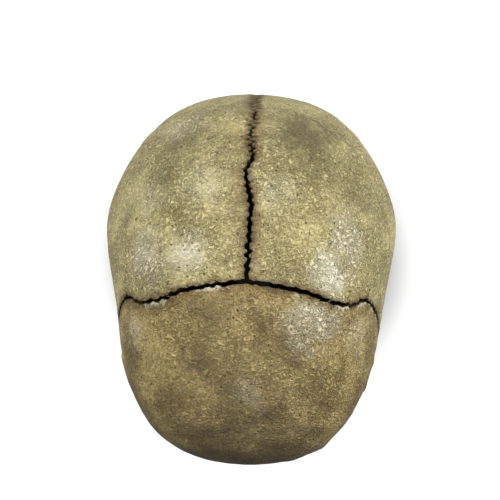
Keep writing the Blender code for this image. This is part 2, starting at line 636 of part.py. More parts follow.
def plane_through(first, second, third, away_from, gap):
    """A plane through three places, facing away from a fourth and set back by half a gap."""
    normal = (second - first).cross(third - first).normalized()
    if normal.dot(away_from - first) > 0:
        normal.negate()
    return first - normal * gap / 2, normal


def mass(name, shapes, voxel, smoothing_rounds, facets):
    """Fuse rounded shapes into one smooth bony form."""
    lump = join(name, shapes)
    fuse = lump.modifiers.new("fuse", "REMESH")
    fuse.mode = "VOXEL"
    fuse.voxel_size = voxel
    ease = lump.modifiers.new("ease", "SMOOTH")
    ease.factor = SMOOTHING
    ease.iterations = smoothing_rounds
    settle(lump)
    thin = lump.modifiers.new("thin", "DECIMATE")
    thin.ratio = facets / (2 * len(lump.data.polygons))
    return settle(lump)


def braincase_ball(name, wall, subdivisions):
    """The braincase surface, or the surface one wall inside it."""
    work = bmesh.new()
    bmesh.ops.create_icosphere(work, subdivisions=subdivisions, radius=1)
    directions = np.array([vertex.co.normalized() for vertex in work.verts])
    radii = BRAINCASE_RADIUS(directions)
    upness = np.clip((directions[:, 2] + 0.3) / 0.6, 0, 1)
    walls = BASE_WALL + (VAULT_WALL - BASE_WALL) * upness
    for vertex, direction, radius, local in zip(work.verts, directions, radii, walls):
        vertex.co = CENTRE + Vector(direction) * (radius - wall * local)
    mesh = bpy.data.meshes.new(name)
    work.to_mesh(mesh)
    work.free()
    made = bpy.data.objects.new(name, mesh)
    bpy.context.collection.objects.link(made)
    return made


def suture(name, side=1):
    """Points along a suture on the braincase, zigzag where the two bones lock together."""
    places = [spot(shares, side) for shares in SUTURE_SHARES[name]]
    if name in SERRATED:
        places[0] = spot(SUTURE_SHARES[name][0])
    rays = np.array([(point - CENTRE).normalized() for point in smooth_path(places, 24)])
    points = [CENTRE + Vector(ray) * radius for ray, radius in zip(rays, BRAINCASE_RADIUS(rays))]
    lengths = [0.0]
    for first, second in zip(points, points[1:]):
        lengths.append(lengths[-1] + (second - first).length)
    step = SERRATION_PITCH / 2 if name in SERRATED else PLAIN_STEP
    count = max(2, round(lengths[-1] / step))
    path = []
    for place in range(count + 1):
        wanted = lengths[-1] * place / count
        span = min(int(np.searchsorted(lengths, wanted, side="right")) - 1, len(points) - 2)
        part = (wanted - lengths[span]) / (lengths[span + 1] - lengths[span])
        point = points[span].lerp(points[span + 1], part)
        if name in SERRATED and 0 < place < count:
            along = (points[span + 1] - points[span]).normalized()
            across = along.cross((point - CENTRE).normalized())
            point = point + across * SERRATION_DEPTH * (1 if place % 2 else -1)
        path.append(point)
    return path


def outline(chain):
    """A closed run of sutures, each given by its name, its side and whether it runs backwards."""
    points = []
    for name, side, backwards in chain:
        path = suture(name, side)
        if backwards:
            path.reverse()
        points += path[:-1]
    return points


def plug(name, chain, heart):
    """A cone over one bone of the braincase, drawn in by half a suture."""
    edge = outline(chain)
    middle = (spot(heart) - CENTRE).normalized()
    rays = []
    for place, point in enumerate(edge):
        along = edge[(place + 1) % len(edge)] - edge[place - 1]
        inward = along.cross(point - CENTRE).normalized()
        if inward.dot(CENTRE + middle * (point - CENTRE).length - point) < 0:
            inward.negate()
        rays.append((point + inward * SUTURE_GAP / 2 - CENTRE).normalized())
    near = EAR_HEIGHT * CONE_SHARES[0]
    far = EAR_HEIGHT * CONE_SHARES[1]
    count = len(rays)
    vertices = [CENTRE + ray * near for ray in rays] + [CENTRE + ray * far for ray in rays]
    vertices += [CENTRE + middle * near, CENTRE + middle * far]
    faces = []
    for place in range(count):
        after = (place + 1) % count
        faces.append((place, after, count + after, count + place))
        faces.append((after, place, 2 * count))
        faces.append((count + place, count + after, 2 * count + 1))
    return make_object(name, vertices, faces)


def orbit_ring(side, share, extra=0.0):
    """The outline of an orbit at a share of its depth: one at the rim, zero at the apex."""
    middle_x = INTERORBITAL_BREADTH / 2 + ORBIT_BREADTH / 2
    middle_z = NASION_HEIGHT - ORBIT_HEIGHT * ORBIT_DROP_SHARE
    apex = face(*ORBIT_APEX_SHARE)
    points = []
    for step in range(ORBIT_POINTS):
        angle = 2 * math.pi * step / ORBIT_POINTS
        wide = math.copysign(abs(math.cos(angle)) ** ORBIT_SQUARENESS, math.cos(angle))
        high = math.copysign(abs(math.sin(angle)) ** ORBIT_SQUARENESS, math.sin(angle))
        across = wide * (ORBIT_BREADTH / 2 + extra)
        lift = high * (ORBIT_HEIGHT / 2 + extra)
        x = across * math.cos(ORBIT_TILT) + lift * math.sin(ORBIT_TILT)
        z = lift * math.cos(ORBIT_TILT) - across * math.sin(ORBIT_TILT)
        outwards = (x + ORBIT_BREADTH / 2) / ORBIT_BREADTH
        forward = ORBIT_FORWARD - RIM_SETBACK * outwards ** 2 + BROW_OVERHANG * z / (ORBIT_HEIGHT / 2)
        rim = Vector((middle_x + x, -forward, middle_z + z))
        heart = Vector((middle_x, -ORBIT_FORWARD + RIM_SETBACK / 4, middle_z))
        centre = apex.lerp(heart, share)
        point = centre + (rim - heart) * share ** ORBIT_TAPER
        points.append(Vector((side * point.x, point.y, point.z)))
    return points


def orbit_solid(name, side, shares, extra=0.0):
    return loft(name, [orbit_ring(side, share, extra) for share in shares])


def rim_bar(name, side):
    """The thick margin round an orbit."""
    ring = orbit_ring(side, 1.0, RIM_THICKNESS * RIM_SEAT_SHARE)
    size = [RIM_THICKNESS / 2] * len(ring)
    return limb(name, ring, size, size, up=Vector((0, 1, 0)), parts=2, closed=True)


def nose_solid(name, inset=0.0):
    """The hollow of the nose: pear shaped in front, and open behind."""
    rings = []
    floor = NASION_HEIGHT - NOSE_HEIGHT + inset
    roof = NASION_HEIGHT - FACE_HEIGHT * NOSE_ROOF_SHARE
    for forward, top in ((FACE_DEPTH * 1.2, NASION_HEIGHT - NASAL_LENGTH),
                         (FACE_DEPTH * 0.95, NASION_HEIGHT - NASAL_LENGTH),
                         (FACE_DEPTH * 0.90, NASION_HEIGHT - NASAL_LENGTH * 0.5),
                         (FACE_DEPTH * 0.82, NASION_HEIGHT - NASAL_LENGTH * 0.5),
                         (FACE_DEPTH * 0.78, roof), (FACE_DEPTH * 0.32, roof)):
        ring = []
        for step in range(ORBIT_POINTS):
            angle = 2 * math.pi * step / ORBIT_POINTS
            high = (math.sin(angle) + 1) / 2
            half = NOSE_BREADTH / 2 * (NOSE_TAPER_SHARES[0] - NOSE_TAPER_SHARES[1] * high) - inset
            wide = math.copysign(abs(math.cos(angle)) ** NOSE_SQUARENESS, math.cos(angle))
            ring.append(Vector((half * wide, -forward, floor + (top - inset - floor) * high)))
        rings.append(ring)
    return loft(name, rings)


def cranial_mass():
    """The braincase with everything that grows from it, still in one piece."""
    shapes = [braincase_ball("ball", 0, 5)] + form("skull_base") + form("occiput")
    for side in (1, -1):
        for name in ("brow", "temple_line", "arch_root", "mastoid", "jaw_socket", "neck_knuckle",
                     "neck_line", "wing"):
            shapes += form(name, side)
        shapes.append(rim_bar("rim", side))
        shapes.append(orbit_solid("orbit_back", side, (0.62, 0.5, 0.3, 0.12), BONE_WALL * 1.2))
    lump = mass("cranium", shapes, BONE_VOXEL, 2, BRAINCASE_FACETS)
    brow_line = NASION_HEIGHT - FACE_HEIGHT * CHEEK_JOINT_SHARE
    for side in (1, -1):
        below = [Vector((side * HALF_FACE * 0.60, -FACE_DEPTH * 1.2, -FACE_HEIGHT)),
                 Vector((side * HALF_FACE * 1.2, -FACE_DEPTH * 0.60, brow_line))]
        combine(lump, block("below", *below), "DIFFERENCE")
    below = [Vector((-HALF_FACE * 0.60, -FACE_DEPTH * 1.3, -FACE_HEIGHT)),
             Vector((HALF_FACE * 0.60, -FACE_DEPTH * 0.72, NASION_HEIGHT))]
    combine(lump, block("below", *below), "DIFFERENCE")
    return lump


def face_mass():
    """Cheeks, upper jaw and nose, still in one piece."""
    shapes = form("nose_spine")
    for side in (1, -1):
        for name in ("orbit_margin", "upper_jaw", "cheek", "arch", "nose_bridge"):
            shapes += form(name, side)
        shapes.append(orbit_solid("orbit", side, (1.0, 0.85, 0.7, 0.55, 0.4), BONE_WALL))
        shapes.append(rim_bar("rim", side))
    shapes.append(gum_bar(True))
    floor = NASION_HEIGHT - NOSE_HEIGHT
    shapes.append(block("palate", (-UPPER_ARCH_BREADTH * 0.38, -FACE_DEPTH * 0.92, floor - PALATE_THICKNESS),
                        (UPPER_ARCH_BREADTH * 0.38, -FACE_DEPTH * 0.47, floor + BONE_WALL)))
    return mass("face", shapes, FACE_VOXEL, 2, FACE_FACETS)


def arch_place(breadth, length, share):
    """A place along a tooth row, from minus one at the last right molar to one at the last left one."""
    angle = share * math.pi / 2
    return breadth / 2 * math.sin(angle), -ARCH_CENTRE_FORWARD - length * math.cos(angle)


def bite_height(y):
    """Where the tooth rows meet, which rises towards the back."""
    return -BITE_DROP + BITE_SLOPE_SHARE * (y + ARCH_CENTRE_FORWARD + UPPER_ARCH_LENGTH)


def gum_bar(upper):
    """The ridge of bone that holds one row of teeth, up to their necks."""
    breadth, length = ((UPPER_ARCH_BREADTH, UPPER_ARCH_LENGTH) if upper
                       else (LOWER_ARCH_BREADTH, LOWER_ARCH_LENGTH))
    sign = 1 if upper else -1
    half = GUM_HEIGHT / 2
    run = []
    for share in GUM_SHARES:
        x, y = arch_place(breadth, length, share)
        neck = CROWN_HEIGHT * (GUM_NECK_SHARES[0] - GUM_NECK_SHARES[1] * abs(share))
        run.append(Vector((x, y, bite_height(y) + sign * (neck + half))))
    return limb("gum", run, [GUM_THICKNESS / 2] * len(run), [half] * len(run), parts=2)


def arch_run(breadth, length):
    """Places along half a tooth row, with the distance from the middle to each."""
    places = [Vector((*arch_place(breadth, length, step / ARCH_STEPS), 0)) for step in range(ARCH_STEPS + 1)]
    lengths = [0.0]
    for first, second in zip(places, places[1:]):
        lengths.append(lengths[-1] + (second - first).length)
    return places, lengths


def tooth_mesh(kind, upper, extra=0.0):
    """One tooth, root to crown, along Z, with its outer side at minus Y."""
    wide, deep, tall, cusps = TOOTH_SHARES[("upper" if upper else "lower", kind)]
    wide = wide * MOLAR_WIDTH / 2 + extra
    deep = deep * MOLAR_WIDTH / 2 + extra
    tall = tall * CROWN_HEIGHT
    rings = []
    for height, wide_share, deep_share in ((-ROOT_LENGTH - extra, 0.45, 0.45), (0, 0.80, 0.80),
                                           (tall * 0.55, 1.0, 1.0),
                                           (tall, 0.92, 0.24 if cusps == 0 else 0.66)):
        ring = []
        for step in range(TOOTH_SIDES):
            angle = 2 * math.pi * (step + 0.5) / TOOTH_SIDES
            bite = height
            if height == tall and cusps:
                bite = height - (CUSP_DEPTH if step % (TOOTH_SIDES // cusps) else 0)
            across, back = wide * wide_share * math.cos(angle), deep * deep_share * math.sin(angle)
            ring.append(Vector((across, back, bite)))
        rings.append(ring)
    if cusps == 1:
        rings[-1] = [Vector((point.x * 0.3, point.y * 0.5, tall)) if step % 2
                     else Vector((point.x * 0.8, point.y, tall * 0.86))
                     for step, point in enumerate(rings[-1])]
    return rings


def tooth_row(upper, extra=0.0):
    """Every tooth of one jaw, as (name, rings in place)."""
    breadth, length = ((UPPER_ARCH_BREADTH, UPPER_ARCH_LENGTH) if upper
                       else (LOWER_ARCH_BREADTH, LOWER_ARCH_LENGTH))
    places, lengths = arch_run(breadth, length)
    sign = 1 if upper else -1
    teeth = []
    reach = TOOTH_GAP / 2
    for kind in TOOTH_KINDS:
        wide = TOOTH_SHARES[("upper" if upper else "lower", kind)][0] * MOLAR_WIDTH
        tall = TOOTH_SHARES[("upper" if upper else "lower", kind)][2] * CROWN_HEIGHT
        middle = reach + wide / 2
        reach += wide + TOOTH_GAP
        span = min(int(np.searchsorted(lengths, middle, side="right")) - 1, len(places) - 2)
        part = (middle - lengths[span]) / (lengths[span + 1] - lengths[span])
        spot_here = places[span].lerp(places[span + 1], part)
        along = (places[span + 1] - places[span]).normalized()
        out = Vector((along.y, -along.x, 0))
        bite = bite_height(spot_here.y) + sign * BITE_GAP / 2
        neck = bite + sign * tall
        for side, word in ((1, "left"), (-1, "right")):
            rings = []
            for ring in tooth_mesh(kind, upper, extra):
                moved = []
                for point in ring:
                    lean = out * (TOOTH_LEAN_SHARE * point.z if kind in FRONT_TEETH and upper else 0)
                    place = spot_here + along * point.x - out * point.y + lean
                    moved.append(Vector((side * place.x, place.y, neck - sign * point.z)))
                rings.append(moved)
            teeth.append((f"{'upper' if upper else 'lower'}_{word}_{kind}", rings))
    return teeth


def lower_jaw():
    """The lower jaw: body, chin, branches, coronoid processes and condyles."""
    shapes = form("jaw_chin") + [gum_bar(False)]
    for side in (1, -1):
        shapes += form("jaw_body", side) + form("jaw_branch", side)
        condyle = Vector((side * (BICONDYLAR_BREADTH - CONDYLE_BREADTH) / 2, -CONDYLE_FORWARD, -CONDYLE_DROP))
        radii = (CONDYLE_BREADTH / 2, CONDYLE_DEPTH / 2, CONDYLE_DEPTH / 2)
        shapes.append(ellipsoid("condyle", condyle, radii))
    return mass("mandible", shapes, FACE_VOXEL, 2, JAW_FACETS)


def tooth_sockets(name, upper):
    """Cutters for the sockets of one jaw: each root, with the gap round it."""
    shapes = []
    for _, rings in tooth_row(upper, SEAT_GAP):
        root, neck = rings[:2]
        heart = sum(neck, Vector()) / len(neck)
        rise = Vector((0, 0, rings[3][0].z - heart.z))
        crown = [heart + (point - heart) * SOCKET_FLARE + rise for point in neck]
        shapes.append(loft("socket", [root, neck, crown]))
    return join(name, shapes)


def ethmoid_solid():
    """The sieve bone: two honeycomb sides, a top plate, and a blade down the middle."""
    half = INTERORBITAL_BREADTH * 0.62
    inner = INTERORBITAL_BREADTH * 0.2
    blade = BONE_WALL * 0.35
    top = NASION_HEIGHT - BONE_WALL * 0.6
    roof = top - BONE_WALL
    low = NASION_HEIGHT - FACE_HEIGHT * 0.37
    blade_low = NASION_HEIGHT - FACE_HEIGHT * SEPTUM_SHARE
    profile = [(-half, top), (-half, low), (-inner, low), (-inner, roof), (-blade, roof), (-blade, blade_low),
               (blade, blade_low), (blade, roof), (inner, roof), (inner, low), (half, low), (half, top)]
    rings = [[Vector((x, -FACE_DEPTH * share, z)) for x, z in profile] for share in (0.50, 0.80)]
    return loft("ethmoid", rings)


def vomer_solid():
    """The ploughshare blade that stands on the floor of the nose."""
    floor = NASION_HEIGHT - NOSE_HEIGHT + JOINT_GAP
    top = NASION_HEIGHT - FACE_HEIGHT * SEPTUM_SHARE - JOINT_GAP
    wing = NASION_HEIGHT - FACE_HEIGHT * NOSE_ROOF_SHARE - JOINT_GAP
    profile = [(FACE_DEPTH * 0.44, wing), (FACE_DEPTH * 0.49, wing), (FACE_DEPTH * 0.50, top),
               (FACE_DEPTH * 0.78, top), (FACE_DEPTH * 0.87, floor), (FACE_DEPTH * 0.49, floor)]
    return combine(plate("vomer", profile, BONE_WALL * 0.7), nose_solid("nose", JOINT_GAP), "INTERSECT")


def concha_solid(side):
    """The scroll on the side wall of the nose."""
    run = [(0.49, 0.547), (0.38, 0.531), (0.28, 0.558), (0.29, 0.603)]
    points = [Vector((side * NOSE_BREADTH * x, -FACE_DEPTH * 0.68, NASION_HEIGHT - FACE_HEIGHT * down))
              for x, down in run]
    scroll = limb("concha", points, [BONE_WALL * 0.35] * 4, [NASAL_LENGTH * 0.45] * 4,
                  up=Vector((0, 1, 0)), parts=2)
    return combine(scroll, nose_solid("nose", JOINT_GAP), "INTERSECT")


VAULT_BONES = {
    "frontal_bone": ([("coronal", 1, False), ("sphenofrontal", 1, False), ("sphenofrontal", -1, True),
                      ("coronal", -1, True)], (0, -0.95, 0.55)),
    "occipital_bone": ([("lambdoid", 1, False), ("mastoid", 1, False), ("petrous", 1, False),
                        ("clival", 1, False), ("clival", -1, True), ("petrous", -1, True),
                        ("mastoid", -1, True), ("lambdoid", -1, True)], (0, 0.60, -0.05)),
    "sphenoid_bone": ([("sphenofrontal", 1, True), ("sphenosquamous", 1, True), ("petrosphenoid", 1, True),
                       ("clival", 1, False), ("clival", -1, True), ("petrosphenoid", -1, False),
                       ("sphenosquamous", -1, False), ("sphenofrontal", -1, False)], (0, -0.40, 0.0)),
}
for word, turn in (("left", 1), ("right", -1)):
    VAULT_BONES[f"{word}_parietal_bone"] = (
        [("sagittal", 1, False), ("lambdoid", turn, False),
         ("squamosal", turn, True), ("coronal", turn, True)],
        (0.75 * turn, 0.20, 0.80))
    VAULT_BONES[f"{word}_temporal_bone"] = (
        [("squamosal", turn, False), ("mastoid", turn, False), ("petrous", turn, False),
         ("petrosphenoid", turn, False), ("sphenosquamous", turn, False)], (0.85 * turn, 0.0, 0.05))


def cheek_planes(side, gap):
    """Where the cheek bone meets the upper jaw, and where it meets the temple's half of the arch."""
    jaw = plane_through(face(0.46, 0.89, 0.46, side), face(0.73, 0.68, 0.82, side),
                        face(0.55, 0.62, 0.43, side), face(0.75, 0.78, 0.45, side), gap)
    arch = plane_through(face(0.97, 0.46, 0.40, side), face(0.97, 0.40, 0.56, side),
                         face(0.80, 0.42, 0.48, side), face(0.75, 0.78, 0.45, side), gap)
    return jaw, arch


def flipped(plane, gap):
    """The same joint from its other side."""
    point, normal = plane
    return point + normal * gap, -normal


def make_bones():
    """Every bone of the cranium, by name."""
    cranium = cranial_mass()
    shell = grow(copy_of(cranium, "shell"), FACE_GAP)
    visage = face_mass()
    combine(visage, shell, "DIFFERENCE", keep=True)
    combine(visage, cranium, "DIFFERENCE", keep=True)
    hollow = nose_solid("nose")
    for side in (1, -1):
        orbit = orbit_solid("orbit", side, (1.4, 1.0, 0.75, 0.5, 0.3, 0.12, 0.04))
        combine(cranium, orbit, "DIFFERENCE", keep=True)
        combine(visage, orbit, "DIFFERENCE")
    combine(cranium, hollow, "DIFFERENCE", keep=True)
    combine(visage, hollow, "DIFFERENCE")
    roof = [Vector((0, -FACE_DEPTH * share, -BITE_DROP + CROWN_HEIGHT)) for share in (0.20, 0.66, 0.86)]
    vault = limb("vault", roof, [UPPER_ARCH_BREADTH * share for share in (0.32, 0.28, 0.15)],
                 [BITE_DROP - NOSE_HEIGHT + NASION_HEIGHT - PALATE_THICKNESS - CROWN_HEIGHT] * 3)
    combine(visage, vault, "DIFFERENCE")
    combine(visage, tooth_sockets("sockets", True), "DIFFERENCE")
    combine(visage, block("space", face(-0.23, 0.81, 0.38), face(0.23, 0.40, -0.2)), "DIFFERENCE")

    combine(cranium, braincase_ball("cavity", 1, 3), "DIFFERENCE")
    combine(cranium, block("notch", face(-0.13, 0.79, 0.14), face(0.13, 0.722, -0.08)), "DIFFERENCE")
    foramen = [Vector((0, FORAMEN_LENGTH * 0.5 - EAR_HEIGHT * 0.02, -EAR_HEIGHT * share))
               for share in (0.02, 0.4)]
    combine(cranium, limb("foramen", foramen, [FORAMEN_BREADTH / 2] * 2, [FORAMEN_LENGTH / 2] * 2,
                          up=Vector((0, 1, 0))), "DIFFERENCE")
    for side in (1, -1):
        canal = [Vector((side * HALF_BREADTH * share, 0, -EAR_CANAL * 0.6)) for share in (0.62, 1.2)]
        combine(cranium, limb("canal", canal, [EAR_CANAL / 2] * 2, [EAR_CANAL / 2] * 2), "DIFFERENCE")
        condyle = Vector((side * (BICONDYLAR_BREADTH - CONDYLE_BREADTH) / 2, -CONDYLE_FORWARD, -CONDYLE_DROP))
        for drop in (0, CONDYLE_DEPTH / 2, CONDYLE_DEPTH):
            place = condyle - Vector((0, 0, drop))
            clearance = JAW_CLEARANCE + drop * SWING_SHARE
            room = [size / 2 + clearance for size in (CONDYLE_BREADTH, CONDYLE_DEPTH, CONDYLE_DEPTH)]
            combine(cranium, ellipsoid("fossa", place, room), "DIFFERENCE")

    bones = {}
    for name, (chain, heart) in VAULT_BONES.items():
        bone = copy_of(cranium, name)
        bones[name] = largest_body(combine(bone, plug("plug", chain, heart), "INTERSECT"))
    discard(cranium)

    size = FACE_BREADTH * 2
    for word, side in (("left", 1), ("right", -1)):
        jaw, arch = cheek_planes(side, JOINT_GAP)
        middle = (Vector((side * JOINT_GAP / 2, 0, 0)), Vector((-side, 0, 0)))
        root = mass("arch", form("arch", side), FACE_VOXEL, 2, ARCH_FACETS)
        combine(root, cell("behind", [flipped(arch, JOINT_GAP)], size), "INTERSECT")
        combine(bones[f"{word}_temporal_bone"], root, "UNION")
        cheek = copy_of(visage, f"{word}_zygomatic_bone")
        top = (Vector((0, 0, NASION_HEIGHT - FACE_HEIGHT * CHEEK_JOINT_SHARE - JOINT_GAP)), Vector((0, 0, 1)))
        combine(cheek, cell("cheek", [middle, jaw, arch, top], size), "INTERSECT")
        bones[cheek.name] = largest_body(cheek)

        nasal_edge = plane_through(face(0.080, 0.97, 0.0, side), face(0.135, 0.98, 0.30, side),
                                   face(0.065, 0.86, 0.0, side), face(0, 0.97, 0.0), JOINT_GAP)
        nasal_floor = (Vector((0, 0, NASION_HEIGHT - NASAL_LENGTH * 1.05)), Vector((0, 0, -1)))
        nasal_back = (face(0, 0.87, 0), Vector((0, 1, 0)))
        nasal = copy_of(visage, f"{word}_nasal_bone")
        combine(nasal, cell("nasal", [middle, nasal_edge, nasal_floor, nasal_back], size), "INTERSECT")
        bones[nasal.name] = largest_body(nasal)

        tear = sorted((side * INTERORBITAL_BREADTH * 0.25, side * INTERORBITAL_BREADTH * 0.8))
        tear_low = (tear[0], -FACE_DEPTH * 0.88, NASION_HEIGHT - FACE_HEIGHT * 0.34)
        tear_high = (tear[1], -FACE_DEPTH * 0.815, NASION_HEIGHT - FACE_HEIGHT * 0.08)
        lacrimal = copy_of(visage, f"{word}_lacrimal_bone")
        combine(lacrimal, block("tear", tear_low, tear_high), "INTERSECT")
        bones[lacrimal.name] = largest_body(lacrimal)
        palate_edge = sorted((side * JOINT_GAP / 2, side * UPPER_ARCH_BREADTH * 0.29))
        palatine = copy_of(visage, f"{word}_palatine_bone")
        combine(palatine, block("rear", (palate_edge[0], -FACE_DEPTH * 0.55, -FACE_HEIGHT),
                                (palate_edge[1], -FACE_DEPTH * 0.35, 0)), "INTERSECT")
        bones[palatine.name] = largest_body(palatine)

        maxilla = copy_of(visage, f"{word}_maxilla")
        lower = (Vector((0, 0, NASION_HEIGHT - JOINT_GAP)), Vector((0, 0, 1)))
        combine(maxilla, cell("upper_jaw", [middle, flipped(jaw, JOINT_GAP), lower], size), "INTERSECT")
        edge_point, edge_normal = nasal_edge
        nasal_foot = (Vector((0, 0, NASION_HEIGHT - NASAL_LENGTH * 1.06)), Vector((0, 0, -1)))
        combine(maxilla, cell("nasal", [(edge_point + edge_normal * JOINT_GAP, edge_normal),
                                        nasal_foot, nasal_back], size), "DIFFERENCE")
        margin = Vector((JOINT_GAP,) * 3)
        combine(maxilla, block("tear", Vector(tear_low) - margin, Vector(tear_high) + margin), "DIFFERENCE")
        rear_low = (palate_edge[0] - JOINT_GAP, -FACE_DEPTH * 0.55 - JOINT_GAP, -FACE_HEIGHT)
        rear_high = (palate_edge[1] + JOINT_GAP, -FACE_DEPTH * 0.35, 0)
        combine(maxilla, block("rear", rear_low, rear_high), "DIFFERENCE")
        bones[maxilla.name] = largest_body(maxilla)
        concha = largest_body(concha_solid(side))
        concha.name = f"{word}_inferior_nasal_concha"
        bones[concha.name] = concha
    discard(visage)
    ethmoid = ethmoid_solid()
    for side in (1, -1):
        combine(ethmoid, orbit_solid("orbit", side, (1.0, 0.75, 0.5, 0.3, 0.12, 0.04)), "DIFFERENCE")
    combine(ethmoid, shell, "DIFFERENCE")
    bones["ethmoid_bone"] = largest_body(ethmoid)
    bones["vomer"] = vomer_solid()
    return bones


def paint(thing, name, colour, roughness):
    finish = bpy.data.materials.new(name)
    finish.use_nodes = True
    surface = finish.node_tree.nodes["Principled BSDF"]
    surface.inputs["Base Color"].default_value = (*colour, 1)
    surface.inputs["Roughness"].default_value = roughness
    thing.data.materials.clear()
    thing.data.materials.append(finish)


def lowest(things, tilt):
    """The lowest point of some pieces with the head tipped back."""
    frame = Matrix.Rotation(-tilt, 4, "X")
    return min((frame @ vertex.co).z for thing in things for vertex in thing.data.vertices)


def rest_tilt(head, jaw):
    """How far the head tips back before jaw and occiput both touch the table."""
    low, high = 0.0, math.radians(45)
    for _ in range(40):
        middle = (low + high) / 2
        if lowest(jaw, middle) < lowest(head, middle):
            low = middle
        else:
            high = middle
    return (low + high) / 2


def build():
    for thing in list(bpy.data.objects):
        bpy.data.objects.remove(thing, do_unlink=True)
    bones = make_bones()
    upper_teeth = [loft(name, rings) for name, rings in tooth_row(True)]
    mandible = lower_jaw()
    combine(mandible, tooth_sockets("sockets", False), "DIFFERENCE")
    largest_body(mandible)
    lower_teeth = [loft(name, rings) for name, rings in tooth_row(False)]
    head = list(bones.values()) + upper_teeth
    jaw = [mandible] + lower_teeth
    for name, bone in bones.items():
        bone.name = name
        bone.data.name = name

    tilt = rest_tilt(head, jaw)
    table = lowest(head + jaw, tilt) + REST_CUT
    frame = Matrix.Rotation(-tilt, 4, "X")
    floor_cut = block("floor", (-FACE_BREADTH, -FACE_BREADTH, -FACE_BREADTH),
                      (FACE_BREADTH, FACE_BREADTH, table))
    floor_cut.data.transform(frame.inverted())
    for thing in (bones["occipital_bone"], mandible):
        largest_body(combine(thing, floor_cut, "DIFFERENCE", keep=True))
    discard(floor_cut)
    places = [frame @ vertex.co for thing in head + jaw for vertex in thing.data.vertices]
    middle_x = (max(place.x for place in places) + min(place.x for place in places)) / 2
    middle_y = (max(place.y for place in places) + min(place.y for place in places)) / 2
    stand = bpy.data.objects.new("cranium", None)
    bpy.context.collection.objects.link(stand)
    stand.matrix_world = Matrix.Translation((-middle_x, -middle_y, -table)) @ frame
    hinge = bpy.data.objects.new("jaw_hinge", None)
    bpy.context.collection.objects.link(hinge)
    hinge.parent = stand
    hinge.location = (0, -CONDYLE_FORWARD, -CONDYLE_DROP)
    for thing in head:
        thing.parent = stand
    for thing in jaw:
        thing.data.transform(Matrix.Translation(-hinge.location))
        thing.parent = hinge
    for thing in head + jaw:
        tooth = thing in upper_teeth or thing in lower_teeth
        if tooth:
            paint(thing, thing.name, TOOTH_COLOUR, TOOTH_ROUGHNESS)
        else:
            paint(thing, thing.name, BONE_COLOUR, BONE_ROUGHNESS)
        thing.data.shade_smooth()
        thing.data.set_sharp_from_angle(angle=SHARP_ANGLE)
    bpy.context.view_layer.update()
    print("hinge", tuple(round(value / MM, 3) for value in hinge.matrix_world.translation),
          "tilt", round(math.degrees(tilt), 3))
    for thing in head + jaw:
        facets = sum(len(face.vertices) - 2 for face in thing.data.polygons)
        print(thing.name, facets)


build()
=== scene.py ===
# %% [markdown]
# # Human skull
# A dry, aged skull seen from above: a big egg of ivory-brown bone with three open seams, and under it, out
# of the camera's sight, a whole face, a base and a jaw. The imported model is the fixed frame. Bone is a
# carved, organic thing, so every bone is cut here from one smooth, finely meshed form, in the same place as
# in the frame, and then stands for its coarser solid.

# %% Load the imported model
import json
import math

import bmesh
import bpy
import numpy as np
from mathutils import Matrix, Vector, kdtree, noise


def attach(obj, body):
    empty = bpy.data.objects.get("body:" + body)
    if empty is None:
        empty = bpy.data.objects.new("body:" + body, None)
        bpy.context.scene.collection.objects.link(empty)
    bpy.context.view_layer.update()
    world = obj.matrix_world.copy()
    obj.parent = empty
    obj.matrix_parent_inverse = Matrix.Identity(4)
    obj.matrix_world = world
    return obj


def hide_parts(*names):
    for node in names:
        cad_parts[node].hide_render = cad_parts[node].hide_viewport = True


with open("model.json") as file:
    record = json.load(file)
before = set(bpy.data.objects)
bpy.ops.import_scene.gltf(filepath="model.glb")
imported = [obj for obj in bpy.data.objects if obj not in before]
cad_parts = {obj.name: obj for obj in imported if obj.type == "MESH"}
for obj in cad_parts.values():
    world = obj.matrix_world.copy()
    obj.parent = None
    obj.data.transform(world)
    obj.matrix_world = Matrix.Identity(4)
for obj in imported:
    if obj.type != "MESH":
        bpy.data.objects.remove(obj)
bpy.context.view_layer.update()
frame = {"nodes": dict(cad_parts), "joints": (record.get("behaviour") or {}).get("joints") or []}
joint = frame["joints"][0]
print(len(frame["nodes"]), "solids, jaw hinge at", joint["pos_m"])

# %% [markdown]
# Bones are easier to place in the frame that anatomists use: millimetres from the point midway between the
# ear openings, x to the skull's left, forward to the face, up to the crown. The loose skull lies tipped
# back on the table, so one matrix carries that frame to the row's. The hinge, which both frames know, fixes
# its place.

# %% From the skull's own frame to the table
MM = 0.001
REST_TILT = math.radians(31.278)
CONDYLE = (49.5, 13, -1)
laid_back = Matrix.Rotation(-REST_TILT, 4, "X")


def at(x, forward, up, side=1):
    """A place in the skull's own frame, in metres, from millimetres."""
    return Vector((side * x, -forward, up)) * MM


STAND = Matrix.Translation(Vector(joint["pos_m"]) - laid_back @ at(0, *CONDYLE[1:])) @ laid_back
print("ear line in the row's frame, mm:", [round(value / MM, 1) for value in STAND.translation])

# %% [markdown]
# The braincase is no ellipsoid. It is a smooth radius, as a function of direction from a point in the
# middle of the brain, fitted through named landmarks: the same ones that the solids use. A fit by cubed
# distances gives the roundest surface that passes through every landmark, and it can be asked for any
# point, however fine.

